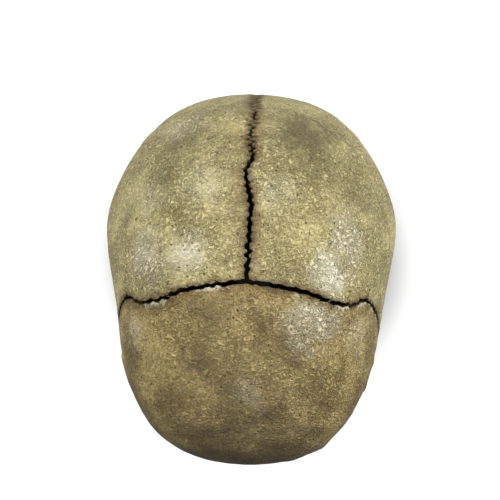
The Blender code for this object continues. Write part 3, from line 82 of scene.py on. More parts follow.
# %% The braincase surface
MIDLINE = {
    "nasion": (86, 31), "glabella": (89, 41), "metopion": (91, 66), "upper_forehead": (74.5, 92),
    "bregma": (20, 117), "vertex": (-12, 120), "obelion": (-52, 105), "lambda": (-82.5, 66),
    "occipital_plane": (-87.6, 52), "opisthocranion": (-89.2, 36), "inion": (-80, 8),
    "opisthion": (-36, -18), "basion": (2, -17), "clivus": (28, 0), "ethmoid_roof": (60, 22.8),
}
SIDES = {
    "frontal_eminence": (28.6, 83.4, 76), "lower_forehead": (22.8, 84.7, 52),
    "frontotemporale": (44.8, 66.2, 50), "temple": (52.1, 56.6, 66), "stephanion": (54, 25.9, 84),
    "pterion": (57.7, 40.5, 42), "upper_frontal": (34.8, 53.4, 98), "upper_parietal": (37.6, 7.9, 111),
    "rear_parietal": (36.4, -38.8, 101), "euryon": (68.1, -20.5, 62),
    "parietal_eminence": (52.8, -29.2, 88), "squama": (65.3, 1.9, 42), "porion": (59, -2, 5),
    "asterion": (54, -50, 20), "occipital_side": (42.9, -75.1, 44),
    "cerebellar_swelling": (32, -54, -17.4), "base_side": (28, -20, -19), "middle_fossa": (36, 32, 2),
    "orbit_roof": (30, 66, 32.4),
}
HEART = at(0, 5, 45)
HEART_ROW = np.array(HEART)


def fit_braincase():
    """A smooth radius, as a function of direction from the heart, through the landmarks."""
    places = [at(0, *row) for row in MIDLINE.values()]
    places += [at(*row, side) for row in SIDES.values() for side in (1, -1)]
    rays = np.array([place - HEART for place in places])
    radii = np.linalg.norm(rays, axis=1)
    rays = rays / radii[:, None]
    bend = np.linalg.norm(rays[:, None] - rays[None], axis=2) ** 3
    tilt = np.c_[np.ones(len(rays)), rays]
    system = np.block([[bend, tilt], [tilt.T, np.zeros((4, 4))]])
    weights = np.linalg.solve(system, np.r_[radii, np.zeros(4)])

    def radius(directions):
        directions = np.atleast_2d(np.array(directions, float))
        reach = np.linalg.norm(directions[:, None] - rays[None], axis=2) ** 3
        return reach @ weights[:-4] + weights[-4] + directions @ weights[-3:]

    return radius


braincase_radius = fit_braincase()
print("crown above the ear line, mm:", round((HEART.z + braincase_radius((0, 0, 1))[0]) / MM, 1))

# %% [markdown]
# A few helpers do the modelling. Rounded bony forms are skins stretched over groups of balls, which is what
# a convex hull gives, so a process or a plate is three to six balls. Hollows are lofted from rings. Joined
# forms melt into one with a voxel remesh, and Booleans carve it. The Manifold solver suits closed meshes as
# fine as these, where the exact one takes minutes.

# %% Modelling helpers
VOXEL = 0.9 * MM
FINE_VOXEL = 0.65 * MM


def to_object(name, work):
    """Turn a bmesh into an object."""
    mesh = bpy.data.meshes.new(name)
    work.to_mesh(mesh)
    work.free()
    made = bpy.data.objects.new(name, mesh)
    bpy.context.scene.collection.objects.link(made)
    return made


def settle(thing):
    """Apply the modifiers of an object."""
    view = bpy.context.evaluated_depsgraph_get()
    mesh = bpy.data.meshes.new_from_object(thing.evaluated_get(view))
    thing.modifiers.clear()
    thing.data = mesh
    return thing


def discard(thing):
    bpy.data.objects.remove(thing, do_unlink=True)


def copy_of(thing, name):
    twin = thing.copy()
    twin.data = thing.data.copy()
    twin.name = name
    bpy.context.scene.collection.objects.link(twin)
    return twin


def carve(thing, tool, operation="DIFFERENCE", keep=False):
    """Cut, keep or add a shape with a Boolean."""
    step = thing.modifiers.new(operation.lower(), "BOOLEAN")
    step.operation = operation
    step.object = tool
    step.solver = "MANIFOLD"
    settle(thing)
    if not keep:
        discard(tool)
    return thing


def skin(name, balls):
    """The skin stretched over some balls, each a place and a radius."""
    work = bmesh.new()
    for place, radius in balls:
        bmesh.ops.create_icosphere(work, subdivisions=2, radius=radius, matrix=Matrix.Translation(place))
    bmesh.ops.delete(work, geom=work.edges[:], context="EDGES_FACES")
    bmesh.ops.convex_hull(work, input=work.verts[:])
    bmesh.ops.delete(work, geom=[vertex for vertex in work.verts if not vertex.link_faces], context="VERTS")
    bmesh.ops.recalc_face_normals(work, faces=work.faces)
    return to_object(name, work)


def forms(table, name, side=1):
    """All the skins of one form in a table of x, forward, up and radius, in millimetres."""
    return [skin(name, [(at(x, forward, up, side), radius * MM) for x, forward, up, radius in balls])
            for balls in table[name]]


def ellipsoid(name, place, radii):
    """A fine ball, stretched along the axes."""
    work = bmesh.new()
    frame_here = Matrix.Translation(place) @ Matrix.Diagonal((*radii, 1))
    bmesh.ops.create_icosphere(work, subdivisions=4, radius=1, matrix=frame_here)
    return to_object(name, work)


def loft(name, rings):
    """Grow a tube from ring to ring by extruding its open edge, and close its ends."""
    work = bmesh.new()
    ring = bmesh.ops.create_circle(work, segments=len(rings[0]), radius=1)["verts"]
    for vertex, place in zip(ring, rings[0]):
        vertex.co = place
    edges = work.edges[:]
    bmesh.ops.contextual_create(work, geom=edges)
    for places in rings[1:]:
        grown = bmesh.ops.extrude_edge_only(work, edges=edges)["geom"]
        fresh = {item for item in grown if isinstance(item, bmesh.types.BMVert)}
        edges = [item for item in grown
                 if isinstance(item, bmesh.types.BMEdge) and fresh.issuperset(item.verts)]
        old = set(ring)
        after = {}
        for vertex in fresh:
            for edge in vertex.link_edges:
                if edge.other_vert(vertex) in old:
                    after[edge.other_vert(vertex)] = vertex
        ring = [after[vertex] for vertex in ring]
        for vertex, place in zip(ring, places):
            vertex.co = place
    bmesh.ops.contextual_create(work, geom=edges)
    bmesh.ops.recalc_face_normals(work, faces=work.faces)
    return to_object(name, work)


def block(name, first, second):
    """A box between two corners."""
    work = bmesh.new()
    size = [abs(end - start) for start, end in zip(first, second)]
    frame_here = Matrix.Translation((first + second) / 2) @ Matrix.Diagonal((*size, 1))
    bmesh.ops.create_cube(work, size=1, matrix=frame_here)
    return to_object(name, work)


def cell(name, planes):
    """What lies behind every one of some planes, each given by a point and an outward normal."""
    work = bmesh.new()
    bmesh.ops.create_cube(work, size=300 * MM)
    for point, normal in planes:
        geometry = work.verts[:] + work.edges[:] + work.faces[:]
        cut = bmesh.ops.bisect_plane(work, geom=geometry, dist=0.001 * MM, plane_co=point, plane_no=normal,
                                     clear_outer=True)
        edges = [item for item in cut["geom_cut"] if isinstance(item, bmesh.types.BMEdge)]
        if edges:
            bmesh.ops.edgeloop_fill(work, edges=edges)
    bmesh.ops.recalc_face_normals(work, faces=work.faces)
    return to_object(name, work)


def melt(name, shapes, voxel, rounds):
    """Fuse overlapping shapes into one smooth bony form."""
    work = bmesh.new()
    for shape in shapes:
        work.from_mesh(shape.data)
        discard(shape)
    lump = to_object(name, work)
    fuse = lump.modifiers.new("fuse", "REMESH")
    fuse.mode = "VOXEL"
    fuse.voxel_size = voxel
    ease = lump.modifiers.new("ease", "SMOOTH")
    ease.factor = 0.5
    ease.iterations = rounds
    settle(lump)
    print(name, len(lump.data.polygons), "faces")
    return lump


def largest_body(thing):
    """Drop the crumbs that a cut leaves behind."""
    work = bmesh.new()
    work.from_mesh(thing.data)
    unseen = set(work.faces)
    bodies = []
    while unseen:
        body = [unseen.pop()]
        for facet in body:
            for edge in facet.edges:
                for other in edge.link_faces:
                    if other in unseen:
                        unseen.discard(other)
                        body.append(other)
        bodies.append(body)
    bodies.sort(key=len)
    bmesh.ops.delete(work, geom=[facet for body in bodies[:-1] for facet in body], context="FACES")
    work.to_mesh(thing.data)
    work.free()
    return thing


BASE_WALL = 3.5
ROOF_EXTRA = 2


def braincase_ball(name, inset, subdivisions):
    """The braincase surface, or its inner face: the wall is thick above and thin at the base."""
    work = bmesh.new()
    bmesh.ops.create_icosphere(work, subdivisions=subdivisions, radius=1)
    directions = np.array([vertex.co.normalized() for vertex in work.verts])
    walls = (BASE_WALL + ROOF_EXTRA * np.clip((directions[:, 2] + 0.3) / 0.6, 0, 1)) * MM
    radii = braincase_radius(directions) - inset * walls
    for vertex, direction, radius in zip(work.verts, directions, radii):
        vertex.co = HEART + Vector(direction) * radius
    return to_object(name, work)

# %% [markdown]
# The forms that grow from the braincase are drawn once, on the left, as rows of balls in millimetres: x,
# forward, up and radius. Brow ridges, the line where the chewing muscle begins, the roots of the cheek
# arches, the knobs behind the ears and the lines where the neck muscles held all come from such rows.

# %% Tables of forms
def chain(*stations):
    """Forms that run on from each group of balls to the next."""
    return [[*first, *second] for first, second in zip(stations, stations[1:])]


CRANIAL_FORMS = {
    "brow": [
        [(0, 86, 38, 6), (10, 87, 38.5, 5.5), (14, 85, 33.5, 3.5), (12, 81, 54, 7), (0, 81.5, 54, 7)],
        [(10, 87, 38.5, 5.5), (20, 86.5, 40, 5), (14, 85, 33.5, 3.5), (24, 85.5, 37, 3.4), (12, 81, 54, 7),
         (26, 76.5, 54, 7)],
        [(20, 86.5, 40, 5), (24, 85.5, 37, 3.4), (34, 82.5, 37, 3.4), (26, 76.5, 54, 7), (38, 67.5, 51, 7)],
        [(34, 82.5, 37, 3.4), (40.6, 76, 33.5, 3.4), (37, 67.5, 51, 7), (42, 61.4, 44, 5.8)],
        [(40.6, 76, 33.5, 3.4), (45, 69, 27.5, 3.3), (42, 61.4, 44, 5.8), (43.8, 62, 34, 4)],
        [(45, 69, 27.5, 3.3), (47.6, 65.6, 18, 3.2), (44.6, 62.2, 30, 3.2), (45.6, 61.4, 20, 3)],
    ],
    "temple_line": [
        [(45.4, 67, 30, 3.1), (43, 62.6, 41, 3)],
        *chain([(44, 63, 41, 3)], [(46.6, 61.8, 52, 2.9)], [(50.6, 56.3, 63, 2.9)],
               [(52.8, 45.1, 72.4, 2.8)]),
    ],
    "arch_root": [
        [(59.5, -6, 7, 3.5), (61, 6, 5, 4.2), (58, 6, 3, 4)],
        [(61, 6, 5, 4.2), (62.5, 18, 1.5, 4), (56, 18, 2, 4)],
        [(62.5, 18, 1.5, 4), (64.5, 30, -1.5, 3.2), (64, 27, -3, 3)],
        [(59.5, -6, 7, 3.5), (58.5, -22, 12, 3), (57, -20, 10, 4)],
    ],
    "mastoid": [
        [(55, -7, 2, 7.5), (54, -28, 4, 8.5), (51.5, -22, -9, 8), (51.5, -12, -11, 7),
         (50.5, -11.5, -22.5, 5)],
        [(54, -4.6, -2, 3.5), (53, 0, -4, 2.6), (46, -0.5, -6, 2.6), (46, -3.6, -7, 3)],
    ],
    "jaw_socket": [
        [(41, 23, -1, 4), (59, 22.5, -0.5, 4.2), (60, 25, 1, 3.5), (44, 28, 2, 4)],
        [(41, 13, 5, 4), (58, 13, 5, 4), (49, 4, 3, 4), (49, 21, 3, 4)],
    ],
    "neck_knuckle": [
        [(12, 5, -20, 4.2), (15, -1, -22, 4.6), (19.5, -10, -19.5, 4.6), (16, -3, -15, 6)],
    ],
    "skull_base": [
        [(-9, 2, -13, 5), (9, 2, -13, 5), (-7, 27, 0, 6), (7, 27, 0, 6)],
        [(-7, 27, 0, 6), (7, 27, 0, 6), (-9, 44, 8, 7), (9, 44, 8, 7), (0, 30, 8, 6)],
        [(20, 8, -12, 4), (34, -8, -12, 5), (22, -2, -13, 5), (12, 18, -8, 4)],
    ],
    "wing": [
        [(12, 36, 0, 3.6), (13, 45, -1, 3), (12, 44.5, -27, 1.9), (11.5, 38, -26, 1.9), (11.5, 32, -8, 2)],
        [(14, 38, 2, 3.6), (14.5, 45.5, -2, 3), (17.5, 43, -25, 1.9), (22, 32.5, -20, 1.8), (20, 30, -4, 2)],
    ],
    "occiput": [
        [(0, -77.6, 8.5, 4.5), (6, -77, 8.5, 3.6), (-6, -77, 8.5, 3.6), (0, -73, 1, 4)],
    ],
    "neck_line": chain([(6, -77, 8.5, 3.6)], [(24.7, -76.2, 10, 3)], [(37.7, -69.1, 10.4, 3)],
                       [(48.8, -55.8, 15.5, 3)]),
}
FACE_FORMS = {
    "orbit_margin": [
        [(10.5, 84.5, 28, 2.8), (12.5, 85, 15, 3), (15, 84.8, 5, 3)],
        [(15, 84.8, 5, 3), (19, 84.3, -2, 3), (27, 82.5, -5, 3.2)],
        [(27, 82.5, -5, 3.2), (36, 79, -5, 3.4), (43, 75, -3, 3.6)],
    ],
    "upper_jaw": [
        [(9.5, 84, 29, 2.6), (10.5, 85.5, 14, 3.4), (15, 84.8, 5, 3), (13.5, 88.5, 0, 2.6),
         (9.3, 91.5, 11, 2.2)],
        [(13.5, 88.5, 0, 2.6), (15, 84.8, 5, 3), (19, 84.3, -2, 3), (16, 86.5, -12, 3), (25, 80.5, -14, 4)],
        [(19, 84.3, -2, 3), (27, 82.5, -5, 3.2), (25, 80.5, -14, 4), (33, 76, -16, 4)],
        [(27, 82.5, -5, 3.2), (40, 77, -4, 3.4), (33, 76, -16, 4), (42, 72, -17, 4)],
        [(42, 72, -17, 4), (33, 76, -16, 4), (37, 66, -24, 4.5), (30, 68, -28, 5), (40, 66, -8, 5)],
        [(16, 86.5, -12, 3), (25, 80.5, -14, 4), (15, 86, -24, 4.5), (24, 78, -28, 5)],
        [(25, 80.5, -14, 4), (33, 76, -16, 4), (24, 78, -28, 5), (30, 68, -28, 5)],
        [(26, 72, -8, 7), (27, 52, -8, 7), (24, 72, -22, 8), (26, 50, -22, 7.5), (32, 66, -18, 6)],
        [(26, 50, -22, 7), (27, 45, -30, 5.5), (25, 48, -12, 6)],
        [(17, 82, -16, 3.5), (13.5, 84, -3, 3), (17, 44, -17, 3.5), (12, 44, -3, 3)],
    ],
    "nose_spine": [
        [(-3.5, 89, -23, 2.5), (3.5, 89, -23, 2.5), (0, 96, -21.5, 1.6)],
        [(-12, 86, -24, 3), (12, 86, -24, 3), (-9, 89, -30, 3.5), (9, 89, -30, 3.5)],
    ],
    "cheek": [
        [(43, 75, -3, 3.6), (51, 69, -3, 3.8), (54, 63, -7, 4), (47, 69.5, -18, 4.2), (41, 72, -18, 4.2),
         (53, 61, -15, 3.8)],
        [(51, 69, -3, 3.8), (54, 63, -7, 4), (50.6, 65.4, 8, 3.2), (51.4, 61.6, 8, 3)],
        [(50.6, 65.4, 8, 3.2), (51.4, 61.6, 8, 3), (46.6, 66.4, 26, 3.2), (47, 62.4, 26, 3)],
        [(54, 63, -7, 4), (53, 61, -15, 3.8), (59.5, 53, -6, 3.2), (59.5, 52, -11.5, 3)],
    ],
    "nose_bridge": [
        [(1.8, 85.5, 31, 2.2), (6, 84.5, 30.5, 2.4), (7, 86, 21, 2), (1.6, 88.5, 22, 2),
         (6.6, 90.4, 12, 1.8), (1.6, 93.8, 11.5, 1.8)],
    ],
    "arch": chain([(54, 63, -7, 4), (53, 61, -15, 3.8)], [(59.5, 53, -6, 3.2), (59.5, 52, -11.5, 3)],
                  [(64, 42, -4.5, 3), (64, 41, -8.5, 2.8)], [(65, 30, -2.5, 3), (65, 30, -5.5, 2.8)],
                  [(64, 18, 0, 3.4), (64, 18, -2, 3.2)]),
}
JAW_FORMS = {
    "jaw_body": chain([(0, 83, -66, 4.6), (0, 83.5, -82.5, 5)], [(12, 82, -66, 4.8), (13, 79.5, -83, 5)],
                      [(20, 76.5, -65, 5), (24, 70.5, -81.5, 5)], [(26, 67, -63, 5.2), (33, 55, -77.5, 5)],
                      [(30, 53, -60, 5.4), (39, 41, -72, 4.8)], [(34, 41, -56, 5.2), (44, 28, -64, 4.2)],
                      [(43, 36, -46, 4), (47, 19, -55, 4)]),
    "jaw_chin": [
        [(0, 86.5, -79, 4.2), (9, 84.5, -83.5, 4.4), (-9, 84.5, -83.5, 4.4), (0, 84.5, -71, 3.4)],
    ],
    "jaw_branch": [
        [(47, 18, -54.5, 4.2), (47.5, 16, -32, 3.4), (42, 43, -47, 4), (46, 41.5, -27, 3.2)],
        [(47.5, 16, -32, 3.4), (46.8, 29, -25, 2.8), (46, 41.5, -27, 3.2)],
        [(47.5, 16, -32, 3.4), (46.8, 26, -28, 2.8), (48, 15.5, -13, 3.2), (48.3, 13.5, -7, 3.8)],
        [(46, 41.5, -27, 3.2), (46.8, 28, -26, 2.8), (46.5, 40, -12, 2.6), (46.5, 33, -17, 2.4)],
        [(46.5, 40, -12, 2.6), (46.5, 33, -17, 2.4), (47, 38.5, 1, 1.9)],
        [(46.5, 13.3, -6.5, 3), (52.5, 13.3, -5.5, 3), (48.3, 14.5, -14, 3)],
    ],
}
print(sum(len(table) for table in (CRANIAL_FORMS, FACE_FORMS, JAW_FORMS)), "forms")

# %% [markdown]
# Sutures are the skull's most striking feature. Each follows a smooth path over the braincase, and both
# bones beside it share one zigzag, which keeps the teeth of one in the notches of the other, with only the
# gap between them. On this dry skull the glue-like tissue has gone, and the front and middle seams gape. The
# middle seam's teeth are low in front, and further back they are deep and reach into each other. The pitch,
# depth and gap of each seam say so, in millimetres.

# %% The paths and profiles of the sutures
SUTURES = {
    "sagittal": [(1.4, 18.9, 117), (2.1, -2.7, 120), (2.4, -11.7, 120), (0, -25.2, 117.6),
        (2.7, -32.4, 115.2), (1.4, -45, 110.4), (2.7, -61.2, 97.2), (1.4, -82.8, 66)],
    "coronal": [(1.4, 18.9, 117), (13.7, 20.7, 116.2), (24, 22.5, 114), (34.2, 25.2, 108),
        (42.5, 25.6, 102), (50, 22.5, 93.6), (56.2, 27, 74.4), (58.9, 34.2, 57.6), (58.2, 37.8, 45.6)],
    "lambdoid": [(1.4, -82.8, 66), (17.1, -82.8, 57.6), (34.2, -76.5, 43.2), (46.6, -64.8, 30),
        (54.8, -50.4, 19.2)],
    "squamosal": [(58.2, 37.8, 45.6), (63.7, 21.6, 50.4), (66.4, 0, 52.8), (67.1, -19.8, 43.2),
        (64.4, -32.4, 24), (54.8, -50.4, 19.2)],
    "mastoid": [(54.8, -50.4, 19.2), (45.2, -37.8, -7.2), (32.2, -18, -18), (23.3, -3.6, -16.8)],
    "petrous": [(23.3, -3.6, -16.8), (15.1, 10.8, -13.2), (10.3, 18.9, -7.2)],
    "petrosphenoid": [(10.3, 18.9, -7.2), (22.6, 14.4, -8.4), (30.8, 11.7, -7.2)],
    "sphenosquamous": [(30.8, 11.7, -7.2), (42.5, 24.3, -1.2), (54.8, 29.7, 19.2), (58.9, 33.3, 36),
        (58.2, 37.8, 45.6)],
    "sphenofrontal": [(58.2, 37.8, 45.6), (47.9, 45, 37.2), (30.8, 41.4, 28.8), (15.1, 40.5, 24),
        (0, 41.4, 22.8)],
    "clival": [(10.3, 18.9, -7.2), (0, 19.8, -6)],
}
SEAM_STEP = 0.3
# pitch, depth and gap at shares of the length
PROFILES = {
    "sagittal": [(0, 3.6, 0.45, 1.9), (0.30, 3.6, 0.5, 2.0), (0.42, 3.2, 0.8, 1.9), (0.52, 3.4, 1.5, 2.3),
                 (0.8, 3.6, 1.6, 2.1), (1, 3.8, 1.7, 1.3)],
    "coronal": [(0, 5.0, 0.25, 1.9), (0.25, 5.0, 0.3, 1.8), (0.6, 4.2, 0.35, 1.6), (0.8, 3.2, 0.45, 1.3),
                (0.9, 3.0, 0.4, 0.9), (1, 3.0, 0.1, 0.7)],
    "lambdoid": [(0, 4.0, 1.6, 0.7), (0.5, 4.4, 2.1, 0.7), (1, 3.6, 0.8, 0.7)],
    "squamosal": [(0, 3.0, 0.15, 0.7), (1, 3.0, 0.3, 0.7)],
}
PLAIN_PROFILE = [(0, 3.0, 0.15, 0.6), (1, 3.0, 0.15, 0.6)]
# these start at the middle seam, which leans a little to the left, so their first point isn't mirrored
UNMIRRORED = ("sagittal", "coronal", "lambdoid")
SEAM_FADE = 3
# how long a stretch each kind of unevenness of a seam spans, in millimetres
WARP_SPAN = 4.1
POWER_SPAN = 5.3
FINE_SPAN = 1.9
WANDER_SPAN = 9.0
EDGE_SPANS = (2.3, 0.8)
LEAST_HALF_GAP = 0.22


def smooth_path(points, parts):
    """A smooth curve through the points."""
    path = []
    for span in range(len(points) - 1):
        before, start, end, after = (points[min(max(span + step, 0), len(points) - 1)]
                                     for step in (-1, 0, 1, 2))
        for part in range(parts):
            t = part / parts
            path.append(0.5 * (2 * start + (end - before) * t
                               + (2 * before - 5 * start + 4 * end - after) * t ** 2
                               + (3 * start - before - 3 * end + after) * t ** 3))
    path.append(points[-1])
    return path


def lobed_wave(phase):
    """A zigzag with bulging teeth, between minus one and one."""
    swing = math.sin(2 * math.pi * phase)
    return math.copysign(abs(swing) ** 0.55, swing)


seam_cache = {}


def seam(name, side):
    """The zigzag of a suture: places, the way across them, and half the gap on either side of each."""
    key = (name, 1 if name == "sagittal" else side)
    if key in seam_cache:
        return seam_cache[key]
    places = [at(*row, side) for row in SUTURES[name]]
    if name in UNMIRRORED:
        places[0] = at(*SUTURES[name][0])
    rays = np.array([(place - HEART).normalized() for place in smooth_path(places, 24)])
    spine = HEART_ROW + rays * braincase_radius(rays)[:, None]
    run = np.r_[0, np.cumsum(np.linalg.norm(np.diff(spine, axis=0), axis=1))] / MM
    count = max(2, round(run[-1] / SEAM_STEP))
    wanted = np.linspace(0, run[-1], count + 1)
    middle = np.stack([np.interp(wanted, run, spine[:, axis]) for axis in range(3)], axis=1)
    along = np.gradient(middle, axis=0)
    across = np.cross(along, middle - HEART_ROW)
    across /= np.linalg.norm(across, axis=1)[:, None]
    profile = np.array(PROFILES.get(name, PLAIN_PROFILE))
    share = wanted / run[-1]
    pitch, depth, gap = (np.interp(share, profile[:, 0], profile[:, column]) for column in (1, 2, 3))
    phase = np.r_[0, np.cumsum(np.diff(wanted) / pitch[1:])]
    swell = np.clip(np.minimum(wanted, run[-1] - wanted) / SEAM_FADE, 0, 1)
    seed = 17.3 * (len(seam_cache) + 1)
    shift = []
    halves = []
    for distance, turn, deep, wide, ease in zip(wanted, phase, depth, gap, swell):
        warp = turn + 0.30 * noise.noise((distance / WARP_SPAN, seed, 0))
        power = 0.75 + 0.9 * noise.noise((distance / POWER_SPAN, seed, 9.1))
        fine = 0.22 * lobed_wave(warp * 2.7 + 0.4 * noise.noise((distance / FINE_SPAN, seed, 3.7)))
        wander = 0.5 * noise.noise((distance / WANDER_SPAN, seed, 5.5))
        shift.append(ease * (deep * (power * lobed_wave(warp) + fine) + wander * min(deep, 1.0)))
        half = wide / 2
        rough = [half * 0.45 * noise.noise((distance / EDGE_SPANS[0], seed, row)) + min(half, 0.5) * 0.35
                 * noise.noise((distance / EDGE_SPANS[1], seed, row + 5)) for row in (21.0, 31.0)]
        halves.append([max(half + ease * edge, LEAST_HALF_GAP) for edge in rough])
    line = middle + across * np.array(shift)[:, None] * MM
    seam_cache[key] = (line, across, np.array(halves) * MM)
    return seam_cache[key]


length = np.linalg.norm(np.diff(seam("sagittal", 1)[0], axis=0), axis=1).sum()
print("sagittal seam along its zigzag, mm:", round(length / MM, 1))

# %% [markdown]
# A bone of the braincase is what lies in a cone over its outline, seen from the heart of the skull. The
# outline is a run of seams, each drawn in by its half of the gap. Where two seams meet, the drawn-in lines
# would cross, so the last points before the corner give way to one in the corner's own direction.

# %% Outlines and cones of the braincase bones
PLUG_REACHES = (24, 130, 288)


def both_sides(links):
    """The left half of an outline, and then its mirror image, run the other way."""
    return links + [(name, -side, not backwards) for name, side, backwards in reversed(links)]


# each bone's seams, as name, side and whether it runs backwards, and a place in the bone
VAULT_BONES = {
    "frontal_bone": (both_sides([("coronal", 1, False), ("sphenofrontal", 1, False)]), (0, 86, 66)),
    "occipital_bone": (both_sides([("lambdoid", 1, False), ("mastoid", 1, False), ("petrous", 1, False),
                                   ("clival", 1, False)]), (0, -54, -6)),
    "sphenoid_bone": (both_sides([("sphenofrontal", 1, True), ("sphenosquamous", 1, True),
                                  ("petrosphenoid", 1, True), ("clival", 1, False)]), (0, 36, 0)),
}
for word, turn in (("left", 1), ("right", -1)):
    VAULT_BONES[f"{word}_parietal_bone"] = (
        [("sagittal", 1, False), ("lambdoid", turn, False), ("squamosal", turn, True),
         ("coronal", turn, True)], (51 * turn, -18, 96))
    VAULT_BONES[f"{word}_temporal_bone"] = (
        [("squamosal", turn, False), ("mastoid", turn, False), ("petrous", turn, False),
         ("petrosphenoid", turn, False), ("sphenosquamous", turn, False)], (58 * turn, 0, 6))


def edge_of(name, side, backwards, heart):
    """One seam of an outline, drawn in towards a bone's heart."""
    line, across, halves = seam(name, side)
    towards = Vector(heart - line[len(line) // 2]).dot(Vector(across[len(line) // 2])) > 0
    inward = across if towards else -across
    drawn = line + inward * halves[:, [0 if towards else 1]]
    if backwards:
        line, inward, drawn, halves = line[::-1], inward[::-1], drawn[::-1], halves[::-1]
    return line, inward, drawn, halves


def outline(links, heart):
    """The closed outline of a bone, with its corners cleaned."""
    edges = [edge_of(*link, heart) for link in links]
    outline_places = []
    for number, (line, inward, drawn, halves) in enumerate(edges):
        before = edges[number - 1]
        reach = np.array([max(halves[0].max(), before[3][-1].max()) * 2.2,
                          max(halves[-1].max(), edges[(number + 1) % len(edges)][3][0].max()) * 2.2])
        mean = (before[1][-1] + inward[0]) / 2
        corner = line[0] + mean * (halves[0].mean() + before[3][-1].mean()) / 2 / max(mean @ mean, 0.3)
        outline_places.append(corner)
        keep = (np.linalg.norm(drawn - line[0], axis=1) > reach[0]) & (
            np.linalg.norm(drawn - line[-1], axis=1) > reach[1])
        outline_places += list(drawn[keep])
    return np.array(outline_places)


def plug(name):
    """The cone over one bone of the braincase."""
    links, heart = VAULT_BONES[name]
    rays = outline(links, np.array(at(*heart))) - HEART_ROW
    rays /= np.linalg.norm(rays, axis=1)[:, None]
    return loft("plug", [[HEART + Vector(ray) * (reach * MM) for ray in rays] for reach in PLUG_REACHES])


parietal_links, parietal_heart = VAULT_BONES["left_parietal_bone"]
print("points round the left parietal bone:", len(outline(parietal_links, np.array(at(*parietal_heart)))))

# %% [markdown]
# Eye sockets, nose and tooth sockets are hollows. Each is a tube through rounded rings: the eye socket's
# rings shrink from a slanting, nearly square rim to an apex near the middle of the skull, and the nose's
# rings are pears that stand on the floor of the nose.

# %% Hollows
ORBIT_BREADTH = 38
ORBIT_HEIGHT = 34
ORBIT_MIDDLE = (30, 81.25, 16.04)
ORBIT_APEX = (16.9, 38.2, 18.8)
ORBIT_SLANT = math.radians(7)
ORBIT_FORWARD = 85
RIM_SETBACK = 19
BROW_OVERHANG = 3
RIM_RADIUS = 2.5


def rounded(angle, squareness):
    """Across and up, on an outline between a circle and a square."""
    return [math.copysign(abs(value) ** squareness, value) for value in (math.cos(angle), math.sin(angle))]


def orbit_ring(side, share, extra=0.0, points=40):
    """The outline of an eye socket at a share of its depth: one at the rim, zero at the apex."""
    apex, middle = at(*ORBIT_APEX), at(*ORBIT_MIDDLE)
    ring = []
    for step in range(points):
        wide, high = rounded(2 * math.pi * step / points, 0.8)
        wide *= ORBIT_BREADTH / 2 + extra
        high *= ORBIT_HEIGHT / 2 + extra
        x = wide * math.cos(ORBIT_SLANT) + high * math.sin(ORBIT_SLANT)
        up = high * math.cos(ORBIT_SLANT) - wide * math.sin(ORBIT_SLANT)
        setback = RIM_SETBACK * ((x + ORBIT_BREADTH / 2) / ORBIT_BREADTH) ** 2
        forward = ORBIT_FORWARD - setback + BROW_OVERHANG * up / (ORBIT_HEIGHT / 2)
        rim = at(ORBIT_MIDDLE[0] + x, forward, ORBIT_MIDDLE[2] + up)
        place = apex.lerp(middle, share) + (rim - middle) * share ** 0.62
        ring.append(Vector((side * place.x, place.y, place.z)))
    return ring


def orbit(side, shares, extra=0.0):
    return loft("orbit", [orbit_ring(side, share, extra) for share in shares])


def rim_bars(side):
    """The thick margin of an eye socket, as short bars end to end."""
    ring = orbit_ring(side, 1.0, RIM_RADIUS * 0.84, 16)
    return [skin("rim", [(start, RIM_RADIUS * MM), (end, RIM_RADIUS * MM)])
            for start, end in zip(ring, ring[1:] + ring[:1])]


NOSE_HALF_BREADTH = 12.5
NOSE_FLOOR = -20
NOSE_POINTS = 36
# forward, and the height of the roof there
NOSE_ROOF = ((109, 12), (86.5, 12), (82, 21.5), (74.6, 21.5), (71, 0), (29, 0))


def nose_hollow():
    """The hollow of the nose: pear shaped in front, and open behind."""
    rings = []
    for forward, top in NOSE_ROOF:
        ring = []
        for step in range(NOSE_POINTS):
            wide, _ = rounded(2 * math.pi * step / NOSE_POINTS, 0.7)
            high = (math.sin(2 * math.pi * step / NOSE_POINTS) + 1) / 2
            ring.append(at(NOSE_HALF_BREADTH * (1.22 - 0.60 * high) * wide, forward,
                           NOSE_FLOOR + (top - NOSE_FLOOR) * high))
        rings.append(ring)
    return loft("nose", rings)


def limb(name, points, widths, heights, up=Vector((0, 0, 1)), parts=6):
    """A rounded bar along a smooth path, with a half width and a half height at each point, in metres."""
    path = smooth_path(points, parts)
    sizes = smooth_path([Vector((width, height, 0)) for width, height in zip(widths, heights)], parts)
    rings = []
    for number, (place, size) in enumerate(zip(path, sizes)):
        along = (path[min(number + 1, len(path) - 1)] - path[max(number - 1, 0)]).normalized()
        across = along.cross(up).normalized()
        lift = across.cross(along).normalized()
        angles = [2 * math.pi * step / 28 for step in range(28)]
        rings.append([place + across * size.x * math.cos(angle) + lift * size.y * math.sin(angle)
                      for angle in angles])
    return loft(name, rings)


# %% [markdown]
# Both rows of teeth stand on the same kind of curve. A tooth is a tube too: root, neck, a swelling crown,
# and then rings that shrink over its chewing face, raised where its cusps are. A molar has four, a premolar
# two, a canine one point, and a front tooth an edge.

# %% Tooth rows
# millimetres, as is all that follows but shares and slopes
MOLAR_WIDTH = 10
CROWN_HEIGHT = 10
ROOT_LENGTH = 11
CUSP_DEPTH = 1.5
TOOTH_POINTS = 24
TOOTH_GAP = 0.35
SOCKET_ROOM = 0.3
BITE_ROOM = 0.25
# where the rows of teeth meet in front, as forward and up
BITE_FRONT = (92, -51)
BITE_SLOPE = 0.14
ARCH_REAR = 36
GUM_HALF_WIDTH = 6.25
GUM_HALF_HEIGHT = 9.5
ROOTWARD = {"upper": 1, "lower": -1}
